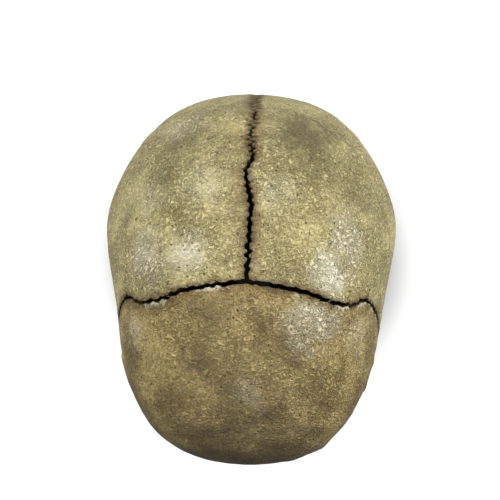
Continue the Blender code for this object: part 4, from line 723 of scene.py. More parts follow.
# breadth and reach of both tooth rows
ARCHES = {"upper": (62, 56), "lower": (59, 53)}
# width and depth as shares of the first molar's width, height as a share of the first incisor's, and cusps
TEETH = {
    "upper": {"central_incisor": (0.85, 0.70, 1.05, 0), "lateral_incisor": (0.65, 0.62, 0.95, 0),
              "canine": (0.75, 0.80, 1.05, 1), "first_premolar": (0.70, 0.90, 0.85, 2),
              "second_premolar": (0.70, 0.90, 0.80, 2), "first_molar": (1.00, 1.10, 0.75, 4),
              "second_molar": (0.95, 1.10, 0.70, 4), "third_molar": (0.85, 1.00, 0.65, 4)},
    "lower": {"central_incisor": (0.50, 0.60, 0.90, 0), "lateral_incisor": (0.55, 0.64, 0.92, 0),
              "canine": (0.70, 0.77, 1.00, 1), "first_premolar": (0.70, 0.76, 0.85, 2),
              "second_premolar": (0.72, 0.80, 0.80, 2), "first_molar": (1.10, 1.05, 0.75, 4),
              "second_molar": (1.05, 1.00, 0.72, 4), "third_molar": (1.00, 0.95, 0.70, 4)},
}
CUSPS = {0: [(-0.6, 0), (-0.2, 0), (0.2, 0), (0.6, 0)], 1: [(0, 0)], 2: [(0, 0.62), (0, -0.62)],
         4: [(0.5, 0.55), (-0.5, 0.55), (0.5, -0.55), (-0.5, -0.55)]}


def arch_place(row, share):
    """X and forward along a tooth row, from minus one at the last right molar to one at the last left one."""
    breadth, reach = ARCHES[row]
    return breadth / 2 * math.sin(share * math.pi / 2), ARCH_REAR + reach * math.cos(share * math.pi / 2)


def bite_height(forward):
    """Where the tooth rows meet, which rises towards the back."""
    return BITE_FRONT[1] + BITE_SLOPE * (BITE_FRONT[0] - forward)


def tooth_rings(row, kind, extra=0.0, socket=False):
    """Rings of one tooth from the root's end, as (along, outwards, above the neck)."""
    wide, deep, tall, cusps = TEETH[row][kind]
    wide = wide * MOLAR_WIDTH / 2 + extra
    deep = deep * MOLAR_WIDTH / 2 + extra
    tall *= CROWN_HEIGHT
    edge = 0.24 if cusps == 0 else 0.66
    rows = [(-ROOT_LENGTH - extra, 0.40, 0.40), (-ROOT_LENGTH * 0.94 - extra, 0.45, 0.45), (0, 0.80, 0.80)]
    if socket:
        rows += [(tall, 0.80 * 1.12, 0.80 * 1.12)]
    else:
        rows += [(-0.5, 0.785, 0.785), (tall * 0.12, 0.845, 0.85), (tall * 0.3, 0.93, 0.94),
                 (tall * 0.55, 1.0, 1.0), (tall * 0.75, 0.99, 0.62 + edge * 0.38),
                 (tall * 0.9, 0.95, edge * 1.12)]
        rows.sort()
    rings = []
    for height, wide_share, deep_share in rows:
        ring = []
        for step in range(TOOTH_POINTS):
            across, out = rounded(2 * math.pi * (step + 0.5) / TOOTH_POINTS, 0.85)
            ring.append((wide * wide_share * across, deep * deep_share * out, height))
        rings.append(ring)
    for share in () if socket else (1.0, 0.86, 0.68, 0.48, 0.28, 0.1):
        ring = []
        for step in range(TOOTH_POINTS):
            angle = 2 * math.pi * (step + 0.5) / TOOTH_POINTS
            across, out = (value * share for value in rounded(angle, 0.85))
            spread = 0.36 if cusps > 1 else 0.55
            rise = sum(math.exp(-((across - u) ** 2 + (out - v) ** 2) / spread ** 2) for u, v in CUSPS[cusps])
            drop = CUSP_DEPTH * (1 - min(rise, 1)) * (1.6 if cusps == 1 else 1)
            if cusps == 0:
                drop = 0.35 * share ** 4
            ring.append((wide * 0.92 * across, deep * edge * out, tall - drop))
        rings.append(ring)
    return rings


def tooth_places(row):
    """Name, kind, side, place, direction along the row and height of the neck for every tooth of a row."""
    run = [Vector(arch_place(row, step / 90)) for step in range(91)]
    distances = np.r_[0, np.cumsum([(second - first).length for first, second in zip(run, run[1:])])]
    sign = ROOTWARD[row]
    reach = TOOTH_GAP / 2
    for kind, (wide, _, tall, _) in TEETH[row].items():
        middle = reach + wide * MOLAR_WIDTH / 2
        reach += wide * MOLAR_WIDTH + TOOTH_GAP
        x, forward = (float(np.interp(middle, distances, [place[axis] for place in run])) for axis in (0, 1))
        span = min(int(np.searchsorted(distances, middle)), 90)
        along = (run[span] - run[span - 1]).normalized()
        neck = bite_height(forward) + sign * (BITE_ROOM + tall * CROWN_HEIGHT)
        for side, word in ((1, "left"), (-1, "right")):
            yield f"{row}_{word}_{kind}", kind, side, (x, forward), along, neck


def placed(rings, row, kind, side, place, along, neck):
    """The rings of a tooth in its place in the row."""
    sign = ROOTWARD[row]
    lean = 0.10 if row == "upper" and kind in ("central_incisor", "lateral_incisor", "canine") else 0
    out = Vector((-along.y, along.x))
    moved = []
    for ring in rings:
        points = []
        for u, v, height in ring:
            spot = Vector(place) + along * u + out * (v + lean * height)
            points.append(at(spot.x, spot.y, neck - sign * height, side))
        moved.append(points)
    return moved


def sockets(row):
    """Cutters for the tooth sockets of one jaw."""
    work = bmesh.new()
    for _, kind, *rest in tooth_places(row):
        cutter = loft("socket", placed(tooth_rings(row, kind, SOCKET_ROOM, True), row, kind, *rest))
        work.from_mesh(cutter.data)
        discard(cutter)
    return to_object("sockets", work)


def gum_bar(row):
    """The ridge of bone that holds one row of teeth."""
    sign = ROOTWARD[row]
    run = []
    for share in (-0.98, -0.85, -0.7, -0.5, -0.25, 0, 0.25, 0.5, 0.7, 0.85, 0.98):
        x, forward = arch_place(row, share)
        rise = CROWN_HEIGHT * (0.96 - 0.30 * abs(share)) + GUM_HALF_HEIGHT
        run.append(at(x, forward, bite_height(forward) + sign * rise))
    return limb("gum", run, [GUM_HALF_WIDTH * MM] * len(run), [GUM_HALF_HEIGHT * MM] * len(run))


def root_bulges(row):
    """Low ridges in front of the roots, where they swell the bone."""
    sign = ROOTWARD[row]
    bulges = []
    for _, kind, side, place, along, neck in tooth_places(row):
        deep = TEETH[row][kind][1] * MOLAR_WIDTH / 2
        out = Vector((-along.y, along.x))
        more, length = (0.5, 13) if kind == "canine" else (0, 9)
        foot = Vector(place) + out * (5.2 + more)
        tip = Vector(place) + out * (4.4 + more)
        size = min(deep, 3.6) * 0.42
        bulges.append(skin("bulge", [(at(foot.x, foot.y, neck + sign * 2.5, side), size * MM),
                                     (at(tip.x, tip.y, neck + sign * length, side), size * 0.7 * MM)]))
    return bulges


# %% [markdown]
# Real bone is never smooth. Before anything is cut, broad dents, low ripples and a fine unevenness move the
# surface by fractions of a millimetre, the edges of the seams sink softly towards their gaps, and the line
# where the temple's muscle began runs over the braincase as a faint ridge.

# %% Sculpt the surface
# millimetres: span and height of each kind of unevenness, depth and reach of the dip beside a seam, and
# height and reach of the temple's ridge
SWELLS = ((26, 0.42), (9, 0.17), (3.4, 0.085))
SEAM_DIP = (0.30, 1.5)
TEMPLE_LIFT = (0.30, 2.2)
TEMPLE_RIDGE = [(46.5, 62, 50), (47.5, 52, 70), (50, 38, 84), (51, 18, 95.5), (52, -6, 99), (53, -30, 94),
                (53.5, -52, 80), (50, -68, 60)]


def coordinates(mesh):
    values = np.empty(len(mesh.vertices) * 3, np.float32)
    mesh.vertices.foreach_get("co", values)
    return values.reshape(-1, 3)


def tree_of(places):
    """A search tree over some places."""
    tree = kdtree.KDTree(len(places))
    for number, place in enumerate(places):
        tree.insert(place, number)
    tree.balance()
    return tree


seam_tree = tree_of(np.vstack([seam(name, side)[0] for name in SUTURES for side in (1, -1)]))
ridge_places = []
for ridge_side in (1, -1):
    ridge_rays = np.array([(place - HEART).normalized() for place in
                           smooth_path([at(*row, ridge_side) for row in TEMPLE_RIDGE], 30)])
    ridge_places.append(HEART_ROW + ridge_rays * braincase_radius(ridge_rays)[:, None])
ridge_tree = tree_of(np.vstack(ridge_places))


def sculpt(thing, strength=1.0, seams=False):
    """Move the surface in and out along its normals."""
    mesh = thing.data
    places = coordinates(mesh)
    normals = np.empty(len(mesh.vertices) * 3, np.float32)
    mesh.vertex_normals.foreach_get("vector", normals)
    normals = normals.reshape(-1, 3)
    moves = np.zeros(len(places))
    for number, place in enumerate(places / MM):
        spot = Vector(place)
        lift = sum(height * noise.noise(spot / span) for span, height in SWELLS) * strength
        if seams:
            apart = seam_tree.find(spot * MM)[2] / MM
            lift -= SEAM_DIP[0] * math.exp(-(apart / SEAM_DIP[1]) ** 2)
            ridge = ridge_tree.find(spot * MM)[2] / MM
            lift += TEMPLE_LIFT[0] * math.exp(-(ridge / TEMPLE_LIFT[1]) ** 2)
        moves[number] = lift * MM
    places = places + normals * moves[:, None]
    mesh.vertices.foreach_set("co", places.astype(np.float32).ravel())
    mesh.update()
    return thing


# %% [markdown]
# The braincase, with everything that grows from it, is first one form. Eye sockets, nose, brain space, the
# great hole for the spinal cord, the ear canals and the jaw's sockets are cut from it, and then it is taken
# apart along the sutures.

# %% The braincase and its bones
# opposite corners of what is cut away below the eye sockets and the brow, and of the notch for the sieve bone
BELOW_CHEEK = ((39, 109.2, -72), (78, 54.6, 25.2))
BELOW_BROW = ((-39, 118.3, -72), (39, 65.5, 31))
SIEVE_NOTCH = ((-8.45, 71.9, 20.9), (8.45, 65.7, 36.8))
# the great hole: forward, half its breadth and half its length
FORAMEN = (-15.6, 15, 18)
FORAMEN_HEIGHTS = (-2.4, -48)
CANAL_PLACES = ((42.5, 0, -4.8), (82, 0, -4.8))
CANAL_RADIUS = 4
CONDYLE_RADII = (9.5, 5, 5)
JAW_ROOM = 0.7
SHELL_SWELL = 0.6
CRANIAL_ORBIT_WALL = 3.1
ORBIT_SHARES = (1.4, 1.0, 0.75, 0.5, 0.3, 0.12, 0.04)


def cranial_form():
    shapes = [braincase_ball("ball", 0, 6)]
    for table_name in CRANIAL_FORMS:
        shapes += forms(CRANIAL_FORMS, table_name)
        if table_name not in ("skull_base", "occiput"):
            shapes += forms(CRANIAL_FORMS, table_name, -1)
    for side in (1, -1):
        shapes += rim_bars(side)
        shapes.append(orbit(side, (0.62, 0.5, 0.3, 0.12), CRANIAL_ORBIT_WALL))
    lump = melt("cranium", shapes, VOXEL, 3)
    for side in (1, -1):
        carve(lump, block("below", *(at(*place, side) for place in BELOW_CHEEK)))
    return carve(lump, block("below", *(at(*place) for place in BELOW_BROW)))


def cut_hollows(cranium):
    carve(cranium, braincase_ball("cavity", 1, 5))
    carve(cranium, block("notch", *(at(*place) for place in SIEVE_NOTCH)))
    forward, half_breadth, half_length = FORAMEN
    foramen = [at(0, forward, height) for height in FORAMEN_HEIGHTS]
    carve(cranium, limb("foramen", foramen, [half_breadth * MM] * 2, [half_length * MM] * 2,
                        up=Vector((0, 1, 0))))
    for side in (1, -1):
        canal = [at(*place, side) for place in CANAL_PLACES]
        carve(cranium, limb("canal", canal, [CANAL_RADIUS * MM] * 2, [CANAL_RADIUS * MM] * 2))
        for drop in (0, 5, 10):
            room = JAW_ROOM + 0.12 * drop
            place = at(CONDYLE[0], CONDYLE[1], CONDYLE[2] - drop, side)
            carve(cranium, ellipsoid("fossa", place, [(half + room) * MM for half in CONDYLE_RADII]))


cranium = sculpt(cranial_form(), seams=True)
shell = copy_of(cranium, "shell")
swell = shell.modifiers.new("swell", "DISPLACE")
swell.mid_level = 0
swell.strength = SHELL_SWELL * MM
shell = melt("shell", [settle(shell)], VOXEL, 1)
hollow_nose = nose_hollow()
orbits = [orbit(side, ORBIT_SHARES) for side in (1, -1)]
for cutter in orbits + [hollow_nose]:
    carve(cranium, cutter, keep=True)
cut_hollows(cranium)
bones = {}
for bone_name in VAULT_BONES:
    bones[bone_name] = largest_body(carve(copy_of(cranium, bone_name), plug(bone_name), "INTERSECT"))
    print(bone_name, len(bones[bone_name].data.polygons), "faces")
discard(cranium)

# %% [markdown]
# The face is a second form, of thin struts and plates round the eye sockets and the nose, above the ridge
# that holds the teeth. It is cut clear of the braincase and then split: cheek bones, upper jaws, nasal
# bones, tear bones and the rear of the palate.

# %% The bones of the face
GAP = 0.4
FACE_ORBIT_WALL = 2.6
CHEEK_TOP = 24.84
MAXILLA_TOP = 30.6
NASAL_FOOT = 11.05
NASAL_REAR = 79.2
# opposite corners of small bones, of the room that the upper jaw leaves them, of the nose's floor and room
TEAR_BONE = ((5.75, 80.1, 6.5), (18.4, 74.2, 25.2))
TEAR_ROOM = ((5.35, 80.5, 6.1), (18.8, 73.8, 25.6))
REAR_PALATE = ((GAP / 2, 50, -72), (18, 31.9, 0))
REAR_ROOM = ((-0.2, 50.4, -72), (18.4, 31.9, 0))
PALATE = ((-23.6, 83.7, -25), (23.6, 42.8, -17.4))
NOSE_ROOM = ((-15, 73.7, 3.6), (15, 36.4, 45.4))


def plane_through(first, second, third, away_from):
    """A joint's plane, facing away from a place and set back by half a gap."""
    normal = (second - first).cross(third - first).normalized()
    if normal.dot(away_from - first) > 0:
        normal.negate()
    return first - normal * GAP / 2 * MM, normal


def flipped(plane):
    """The same joint from its other side."""
    return plane[0] + plane[1] * GAP * MM, -plane[1]


def face_form():
    shapes = forms(FACE_FORMS, "nose_spine")
    for side in (1, -1):
        for table_name in FACE_FORMS:
            if table_name != "nose_spine":
                shapes += forms(FACE_FORMS, table_name, side)
        shapes.append(orbit(side, (1.0, 0.85, 0.7, 0.55, 0.4), FACE_ORBIT_WALL))
        shapes += rim_bars(side)
    shapes.append(gum_bar("upper"))
    shapes += root_bulges("upper")
    shapes.append(block("palate", *(at(*place) for place in PALATE)))
    return sculpt(melt("face", shapes, FINE_VOXEL, 3), 0.6)


visage = face_form()
carve(visage, shell)
for cutter in orbits + [hollow_nose]:
    carve(visage, cutter)
palate_roof = [at(0, forward, -41) for forward in (18.2, 60, 78.3)]
carve(visage, limb("palate_arch", palate_roof, [19.8 * MM, 17.4 * MM, 9.3 * MM], [16 * MM] * 3))
carve(visage, sockets("upper"))
carve(visage, block("nose_room", *(at(*place) for place in NOSE_ROOM)))

UPWARDS = Vector((0, 0, 1))
for word, side in (("left", 1), ("right", -1)):
    middle = (at(GAP / 2, 0, 0, side), Vector((-side, 0, 0)))
    cheek_heart = at(48.75, 71, -1.4, side)
    jaw_joint = plane_through(at(29.9, 81, -2.1, side), at(47.5, 61.9, -28, side), at(35.8, 56.4, 0, side),
                              cheek_heart)
    arch_joint = plane_through(at(63, 41.9, 2.2, side), at(63, 36.4, -9.3, side), at(52, 38.2, -3.6, side),
                               cheek_heart)
    root = melt("arch", forms(FACE_FORMS, "arch", side), FINE_VOXEL, 3)
    carve(root, cell("behind", [flipped(arch_joint)]), "INTERSECT")
    carve(bones[f"{word}_temporal_bone"], root, "UNION")
    nasal_edge = plane_through(at(5.2, 88.3, 31, side), at(8.8, 89.2, 9.4, side), at(4.2, 78.3, 31, side),
                               at(0, 88.3, 31))
    nasal_back = (at(0, NASAL_REAR, 0), Vector((0, 1, 0)))
    tear, tear_room, rear, rear_room = ([at(*place, side) for place in corners]
                                        for corners in (TEAR_BONE, TEAR_ROOM, REAR_PALATE, REAR_ROOM))
    pieces = {
        "zygomatic_bone": cell("cheek", [middle, jaw_joint, arch_joint, (at(0, 0, CHEEK_TOP), UPWARDS)]),
        "nasal_bone": cell("nasal", [middle, nasal_edge, (at(0, 0, NASAL_FOOT), -UPWARDS), nasal_back]),
        "lacrimal_bone": block("tear", *tear),
        "palatine_bone": block("rear", *rear),
        "maxilla": cell("upper_jaw", [middle, flipped(jaw_joint), (at(0, 0, MAXILLA_TOP), UPWARDS)]),
    }
    for kind, cutter in pieces.items():
        piece = carve(copy_of(visage, kind), cutter, "INTERSECT")
        if kind == "maxilla":
            past_edge = (nasal_edge[0] + nasal_edge[1] * GAP * MM, nasal_edge[1])
            carve(piece, cell("nasal", [past_edge, (at(0, 0, 10.86), -UPWARDS), nasal_back]))
            carve(piece, block("tear", *tear_room))
            carve(piece, block("rear", *rear_room))
        bones[f"{word}_{kind}"] = largest_body(piece)
discard(visage)
print(len(bones), "bones cut so far")

# %% [markdown]
# The lower jaw is the third form: a curved body with a chin, two branches that each end in a flat beak and
# a round condyle, and its own row of tooth sockets.

# %% The lower jaw
def jaw_form():
    shapes = forms(JAW_FORMS, "jaw_chin") + [gum_bar("lower")] + root_bulges("lower")
    for side in (1, -1):
        shapes += forms(JAW_FORMS, "jaw_body", side) + forms(JAW_FORMS, "jaw_branch", side)
        shapes.append(ellipsoid("condyle", at(*CONDYLE, side), [half * MM for half in CONDYLE_RADII]))
    return sculpt(melt("mandible", shapes, FINE_VOXEL, 3), 0.6)


mandible = largest_body(carve(jaw_form(), sockets("lower")))
mandible.name = "mandible"
print("mandible", len(mandible.data.polygons), "faces")
teeth = {}
for row in ARCHES:
    for tooth_name, kind, *rest in tooth_places(row):
        teeth[tooth_name] = loft(tooth_name, placed(tooth_rings(row, kind), row, kind, *rest))
        above = teeth[tooth_name].data.attributes.new("above_neck", "FLOAT", "POINT")
        sign = ROOTWARD[row]
        heights = sign * (rest[-1] - coordinates(teeth[tooth_name].data)[:, 2] / MM)
        above.data.foreach_set("value", heights.astype(np.float32))
print(len(teeth), "teeth")

# %% [markdown]
# Every vertex of the braincase's bones remembers two things that the finish needs: how far it lies from the
# nearest seam, and how deep below the outer surface of the braincase it is. The painted shade on the walls
# and lips of the gaps, and the chalk and the stains beside them, come from these.

# %% Mark the seams, and stand everything on the table
def mark(thing):
    places = coordinates(thing.data)
    offsets = places - HEART_ROW
    reaches = np.linalg.norm(offsets, axis=1)
    depths = (braincase_radius(offsets / reaches[:, None]) - reaches) / MM
    apart = np.array([seam_tree.find(place)[2] for place in places]) / MM
    for word, values in (("depth", depths), ("seam", apart)):
        thing.data.attributes.new(word, "FLOAT", "POINT").data.foreach_set("value", values.astype(np.float32))


VAULT = set(VAULT_BONES)
table_top = block("table", Vector((-0.3, -0.3, -0.1)), Vector((0.3, 0.3, 0)))
for name, piece in [*bones.items(), ("mandible", mandible), *teeth.items()]:
    if name in VAULT:
        mark(piece)
    piece.data.transform(STAND)
    if name in ("occipital_bone", "mandible"):
        largest_body(carve(piece, table_top, keep=True))
    piece.name = name + "_fine"
    piece.data.shade_smooth()
    if name not in teeth:
        piece.data.set_sharp_from_angle(angle=math.radians(50))
discard(table_top)

# %% [markdown]
# Dry bone isn't one colour. It is ivory with an olive tinge, blotched with brown where earth and oil have
# stained it. Its surface is leathery: low folds a millimetre or two broad with creases between them, and
# clusters of small pores; creases and pores are darkened with dirt and with painted shade. Each of these
# effects is its own node group, which gives masks and heights only, so that each bone can mix them with its
# own colours.

# %% Shared effects
def new_group(name, inputs, outputs):
    """A node group with float or vector inputs and float outputs."""
    group = bpy.data.node_groups.new(name, "ShaderNodeTree")
    for label, kind, default in inputs:
        made = group.interface.new_socket(label, in_out="INPUT", socket_type=kind)
        if kind == "NodeSocketFloat":
            made.default_value = default
    for label in outputs:
        group.interface.new_socket(label, in_out="OUTPUT", socket_type="NodeSocketFloat")
    return group, group.nodes.new("NodeGroupInput"), group.nodes.new("NodeGroupOutput")


def node(tree, kind, links=(), **settings):
    """Add a node. Settings are its own, links are values or sockets for its inputs, by name or number."""
    made = tree.nodes.new(kind)
    for key, value in settings.items():
        setattr(made, key, value)
    for key, value in dict(links).items():
        if isinstance(value, bpy.types.NodeSocket):
            tree.links.new(value, made.inputs[key])
        else:
            made.inputs[key].default_value = value
    return made


def ramp(tree, value, low, high, to_low=0.0, to_high=1.0):
    """Turn a value between two limits smoothly into another range."""
    made = node(tree, "ShaderNodeMapRange", {"Value": value, "From Min": low, "From Max": high,
                                             "To Min": to_low, "To Max": to_high},
                interpolation_type="SMOOTHSTEP")
    return made.outputs["Result"]


def sums(tree, operation, first, second):
    return node(tree, "ShaderNodeMath", {0: first, 1: second}, operation=operation).outputs[0]


def times(tree, first, second):
    return sums(tree, "MULTIPLY", first, second)


def noise_of(tree, place, scale, detail, roughness, distortion=0.0):
    """Cloudy noise at a place."""
    made = node(tree, "ShaderNodeTexNoise", {"Vector": place, "Scale": scale, "Detail": detail,
                                             "Roughness": roughness, "Distortion": distortion})
    return made.outputs["Fac"]


def grain_group():
    """Leathery folds with creases between them, pores in clusters, and fine dust. The crease and pore masks
    carry dirt and painted shade.
    """
    group, given, result = new_group("bone_grain", [("Place", "NodeSocketVector", None),
                                                    ("Amount", "NodeSocketFloat", 0.5)],
                                     ("Crease", "Pore", "Cloud", "Height"))
    place = given.outputs["Place"]
    leather = noise_of(group, place, 0.58, 2.0, 0.55, 0.9)
    folds = sums(group, "ABSOLUTE", sums(group, "SUBTRACT", leather, 0.5), 0.0)
    worn = ramp(group, noise_of(group, place, 0.05, 4.0, 0.6), 0.34, 0.56, 0.35, 1.0)
    crease = times(group, ramp(group, folds, 0.0, 0.06, 1.0, 0.0), worn)
    tops = times(group, ramp(group, folds, 0.0, 0.16), worn)
    wobble = node(group, "ShaderNodeTexNoise", {"Vector": place, "Scale": 0.7, "Detail": 3.0})
    bent = node(group, "ShaderNodeVectorMath", {0: wobble.outputs["Color"], 1: (1.6, 1.6, 1.6), 2: place},
                operation="MULTIPLY_ADD")
    clusters = ramp(group, noise_of(group, place, 0.11, 4.0, 0.6), 0.40, 0.62, 0.2, 1.0)
    chosen = times(group, given.outputs["Amount"], clusters)
    pits = node(group, "ShaderNodeTexVoronoi", {"Vector": bent.outputs[0], "Scale": 0.62})
    chance = node(group, "ShaderNodeSeparateColor", {"Color": pits.outputs["Color"]})
    opened = sums(group, "LESS_THAN", chance.outputs["Red"], chosen)
    size = ramp(group, chance.outputs["Green"], 0.0, 1.0, 0.16, 0.42)
    edge = sums(group, "DIVIDE", pits.outputs["Distance"], size)
    pore = times(group, ramp(group, edge, 0.30, 1.0, 1.0, 0.0), opened)
    dust = noise_of(group, place, 0.9, 3.0, 0.7)
    height = sums(group, "ADD", times(group, tops, 1.8), times(group, dust, 2.0))
    height = sums(group, "SUBTRACT", height, times(group, pore, 1.2))
    for label, socket in (("Crease", crease), ("Pore", pore),
                          ("Cloud", ramp(group, sums(group, "ADD", dust, times(group, tops, 0.05)),
                                         0.36, 0.70)), ("Height", height)):
        group.links.new(socket, result.inputs[label])
    return group


def blotches_group():
    """Soft blotches of staining, finer mottling, and an uneven edge for the patches."""
    group, given, result = new_group("bone_blotches", [("Place", "NodeSocketVector", None),
                                                       ("Spread", "NodeSocketFloat", 0.5)],
                                     ("Blotch", "Streak", "Edge"))
    place = given.outputs["Place"]
    low = sums(group, "SUBTRACT", 0.66, times(group, given.outputs["Spread"], 0.3))
    above = sums(group, "DIVIDE", sums(group, "SUBTRACT", noise_of(group, place, 0.05, 8.0, 0.68), low), 0.2)
    group.links.new(ramp(group, above, 0.0, 1.0), result.inputs["Blotch"])
    group.links.new(ramp(group, noise_of(group, place, 0.22, 8.0, 0.78), 0.40, 0.66), result.inputs["Streak"])
    group.links.new(noise_of(group, place, 0.09, 9.0, 0.75), result.inputs["Edge"])
    return group


def seams_group():
    """Masks round the seams: the wall of the gap and its lip, for painted shade, chalk on it and the brown
    staining beside it.
    """
    group, given, result = new_group("bone_seams", [("Place", "NodeSocketVector", None),
                                                    ("Seam", "NodeSocketFloat", 9.0),
                                                    ("Depth", "NodeSocketFloat", 0.0)],
                                     ("Wall", "Chalk", "Stain", "Lip"))
    place = given.outputs["Place"]
    patches = noise_of(group, place, 0.13, 3.0, 0.5)
    reach = ramp(group, noise_of(group, place, 0.6, 4.0, 0.7), 0.3, 0.7, 1.5, 3.6)
    ratio = sums(group, "DIVIDE", given.outputs["Seam"], reach)
    chalk = times(group, ramp(group, ratio, 0.5, 1.0, 1.0, 0.0), ramp(group, patches, 0.50, 0.58))
    broad = sums(group, "DIVIDE", given.outputs["Seam"], ramp(group, patches, 0.3, 0.7, 7.0, 1.5))
    broad = ramp(group, broad, 0.1, 1.3, 1.0, 0.0)
    # Wall and Lip are masks for painted shade: deep in the gap, and on the lips that roll into it
    for label, socket in (("Wall", ramp(group, given.outputs["Depth"], 0.45, 1.5)), ("Chalk", chalk),
                          ("Stain", broad), ("Lip", ramp(group, ratio, 0.3, 1.1, 1.0, 0.0))):
        group.links.new(socket, result.inputs[label])
    return group


# colours of the effects, which all bones share
# the pale patches' colour: paler bone, and a painted highlight where they lie on the crown behind the front
# seam
PALE_PATCH_AND_HIGHLIGHT = (0.84, 0.79, 0.60)
SEAM_STAIN = (0.22, 0.135, 0.038)
# painted shade on the lips of the gaps, where they roll in
PAINTED_LIP_SHADE = (0.12, 0.075, 0.026)
CHALK = (0.64, 0.58, 0.40)
# the pores' colour: dirt, and painted shade inside the pits
PORE = (0.075, 0.05, 0.018)
# painted shade on the walls deep in the gaps
GAP_WALL_PAINTED_SHADE = (0.07, 0.042, 0.016)
GRAIN = grain_group()
BLOTCHES = blotches_group()
SEAMS = seams_group()
PER_MM = 1 / MM


def mixed(tree, share, first, second):
    """Mix two colours by a share."""
    made = node(tree, "ShaderNodeMix", {"Factor": share}, data_type="RGBA")
    for number, value in ((6, first), (7, second)):
        if isinstance(value, bpy.types.NodeSocket):
            tree.links.new(value, made.inputs[number])
        else:
            made.inputs[number].default_value = (*value, 1)
    return made.outputs[2]


def patches_of(tree, place, edge, patches):
    """A mask of soft round patches with uneven edges: each is x, forward, up, reach and strength."""
    mask = 0.0
    for *centre, reach, power in patches:
        heart = STAND @ at(*centre) / MM
        apart = node(tree, "ShaderNodeVectorMath", {0: place, 1: heart}, operation="DISTANCE")
        share = sums(tree, "ADD", sums(tree, "DIVIDE", apart.outputs["Value"], reach),
                     times(tree, edge, 2.4))
        mask = sums(tree, "MAXIMUM", mask, ramp(tree, share, 1.2, 2.3, power, 0.0))
    return mask


def new_finish(name):
    """A material, its tree, its surface, and each point's place in millimetres."""
    finish = bpy.data.materials.new(name)
    finish.use_nodes = True
    tree = finish.node_tree
    own = node(tree, "ShaderNodeTexCoord")
    place = node(tree, "ShaderNodeVectorMath", {0: own.outputs["Object"], 1: (PER_MM,) * 3},
                 operation="MULTIPLY")
    return finish, tree, tree.nodes["Principled BSDF"], place.outputs[0]


def bone_finish(name, ivory, brown, spread, stained, pores, gloss=0.42, chalk=0.5, dark=(), pale=(),
                marks=()):
    """One bone's finish, from its own light and dark colours and its patches."""
    finish, tree, surface, place = new_finish(name)
    grain = node(tree, "ShaderNodeGroup", node_tree=GRAIN)
    blotch = node(tree, "ShaderNodeGroup", node_tree=BLOTCHES)
    seams = node(tree, "ShaderNodeGroup", node_tree=SEAMS)
    for group in (grain, blotch, seams):
        tree.links.new(place, group.inputs["Place"])
    grain.inputs["Amount"].default_value = pores
    blotch.inputs["Spread"].default_value = spread
    for label, word in marks:
        value = node(tree, "ShaderNodeAttribute", attribute_name=word)
        tree.links.new(value.outputs["Fac"], seams.inputs[label])
    bright = tuple(min(value * 1.3, 0.88) for value in ivory)
    # the creases' colour: dirt, and painted shade in the low places between the folds
    shade = tuple(value * share for value, share in zip(ivory, (0.30, 0.26, 0.19)))
    # dark patches: stains, and low on the forehead painted shade
    stains_and_shade = patches_of(tree, place, blotch.outputs["Edge"], dark)
    # pale patches: paler bone, and painted highlights and a painted glint on the crown
    pale_bone_and_highlight = patches_of(tree, place, blotch.outputs["Edge"], pale)
    colour = mixed(tree, grain.outputs["Cloud"], tuple(value * 0.66 for value in ivory), bright)
    for effect, label, share, tint in (
            (blotch, "Streak", 0.45, brown), (blotch, "Blotch", stained, brown),
            (None, stains_and_shade, 1, tuple(value * 0.42 for value in brown)), (None, pale_bone_and_highlight, 1, PALE_PATCH_AND_HIGHLIGHT),
            (seams, "Stain", 0.7, SEAM_STAIN), (grain, "Crease", 0.9, shade), (seams, "Lip", 0.8, PAINTED_LIP_SHADE),
            (seams, "Chalk", chalk, CHALK), (grain, "Pore", 0.85, PORE), (seams, "Wall", 0.92, GAP_WALL_PAINTED_SHADE)):
        mask = times(tree, effect.outputs[label], share) if effect else label
        colour = mixed(tree, mask, colour, tint)
    tree.links.new(colour, surface.inputs["Base Color"])
    rough = sums(tree, "ADD", times(tree, grain.outputs["Pore"], 0.3),
                 times(tree, seams.outputs["Chalk"], 0.3))
    rough = sums(tree, "SUBTRACT", sums(tree, "ADD", rough, gloss), times(tree, pale_bone_and_highlight, 0.2))
    tree.links.new(rough, surface.inputs["Roughness"])
    surface.inputs["IOR"].default_value = 1.45
    height = times(tree, grain.outputs["Height"], 0.7)
    bump = node(tree, "ShaderNodeBump", {"Strength": 1.0, "Distance": MM, "Height": height})
    tree.links.new(bump.outputs["Normal"], surface.inputs["Normal"])
    return finish


# %% [markdown]
# The side and rear bones are the palest. The forehead is browner and more blotched, as in the photograph,
# and the bones of the face and base, which it doesn't show, take a middle tone. The larger dark patches and
# the paler, shinier patches that the photograph shows are given one by one: x, forward, up, reach and
# strength. The dark ones are stains, but low on the forehead they are painted shade; the pale ones are paler
# bone, and on the crown behind the front seam painted highlights and a painted glint.

# %% Finishes
IVORY = (0.60, 0.52, 0.24)
BROWN = (0.28, 0.215, 0.078)
FOREHEAD_IVORY = (0.495, 0.38, 0.148)
FOREHEAD_BROWN = (0.145, 0.085, 0.016)
FACE_IVORY = (0.52, 0.44, 0.205)
FACE_BROWN = (0.21, 0.15, 0.052)
ENAMEL = (0.70, 0.64, 0.46)
ENAMEL_STAINED = (0.56, 0.47, 0.28)
ENAMEL_CRACK = (0.24, 0.16, 0.07)
ROOT = (0.36, 0.26, 0.12)
MARKS = (("Seam", "seam"), ("Depth", "depth"))
PARIETAL_DARK = [(-26, -40, 106, 17, 0.55), (-34, -31, 106, 14, 0.45), (25, -46, 103, 26, 0.85),
                 (43, -25, 101, 15, 0.4), (-52, -12, 97, 12, 0.3)]
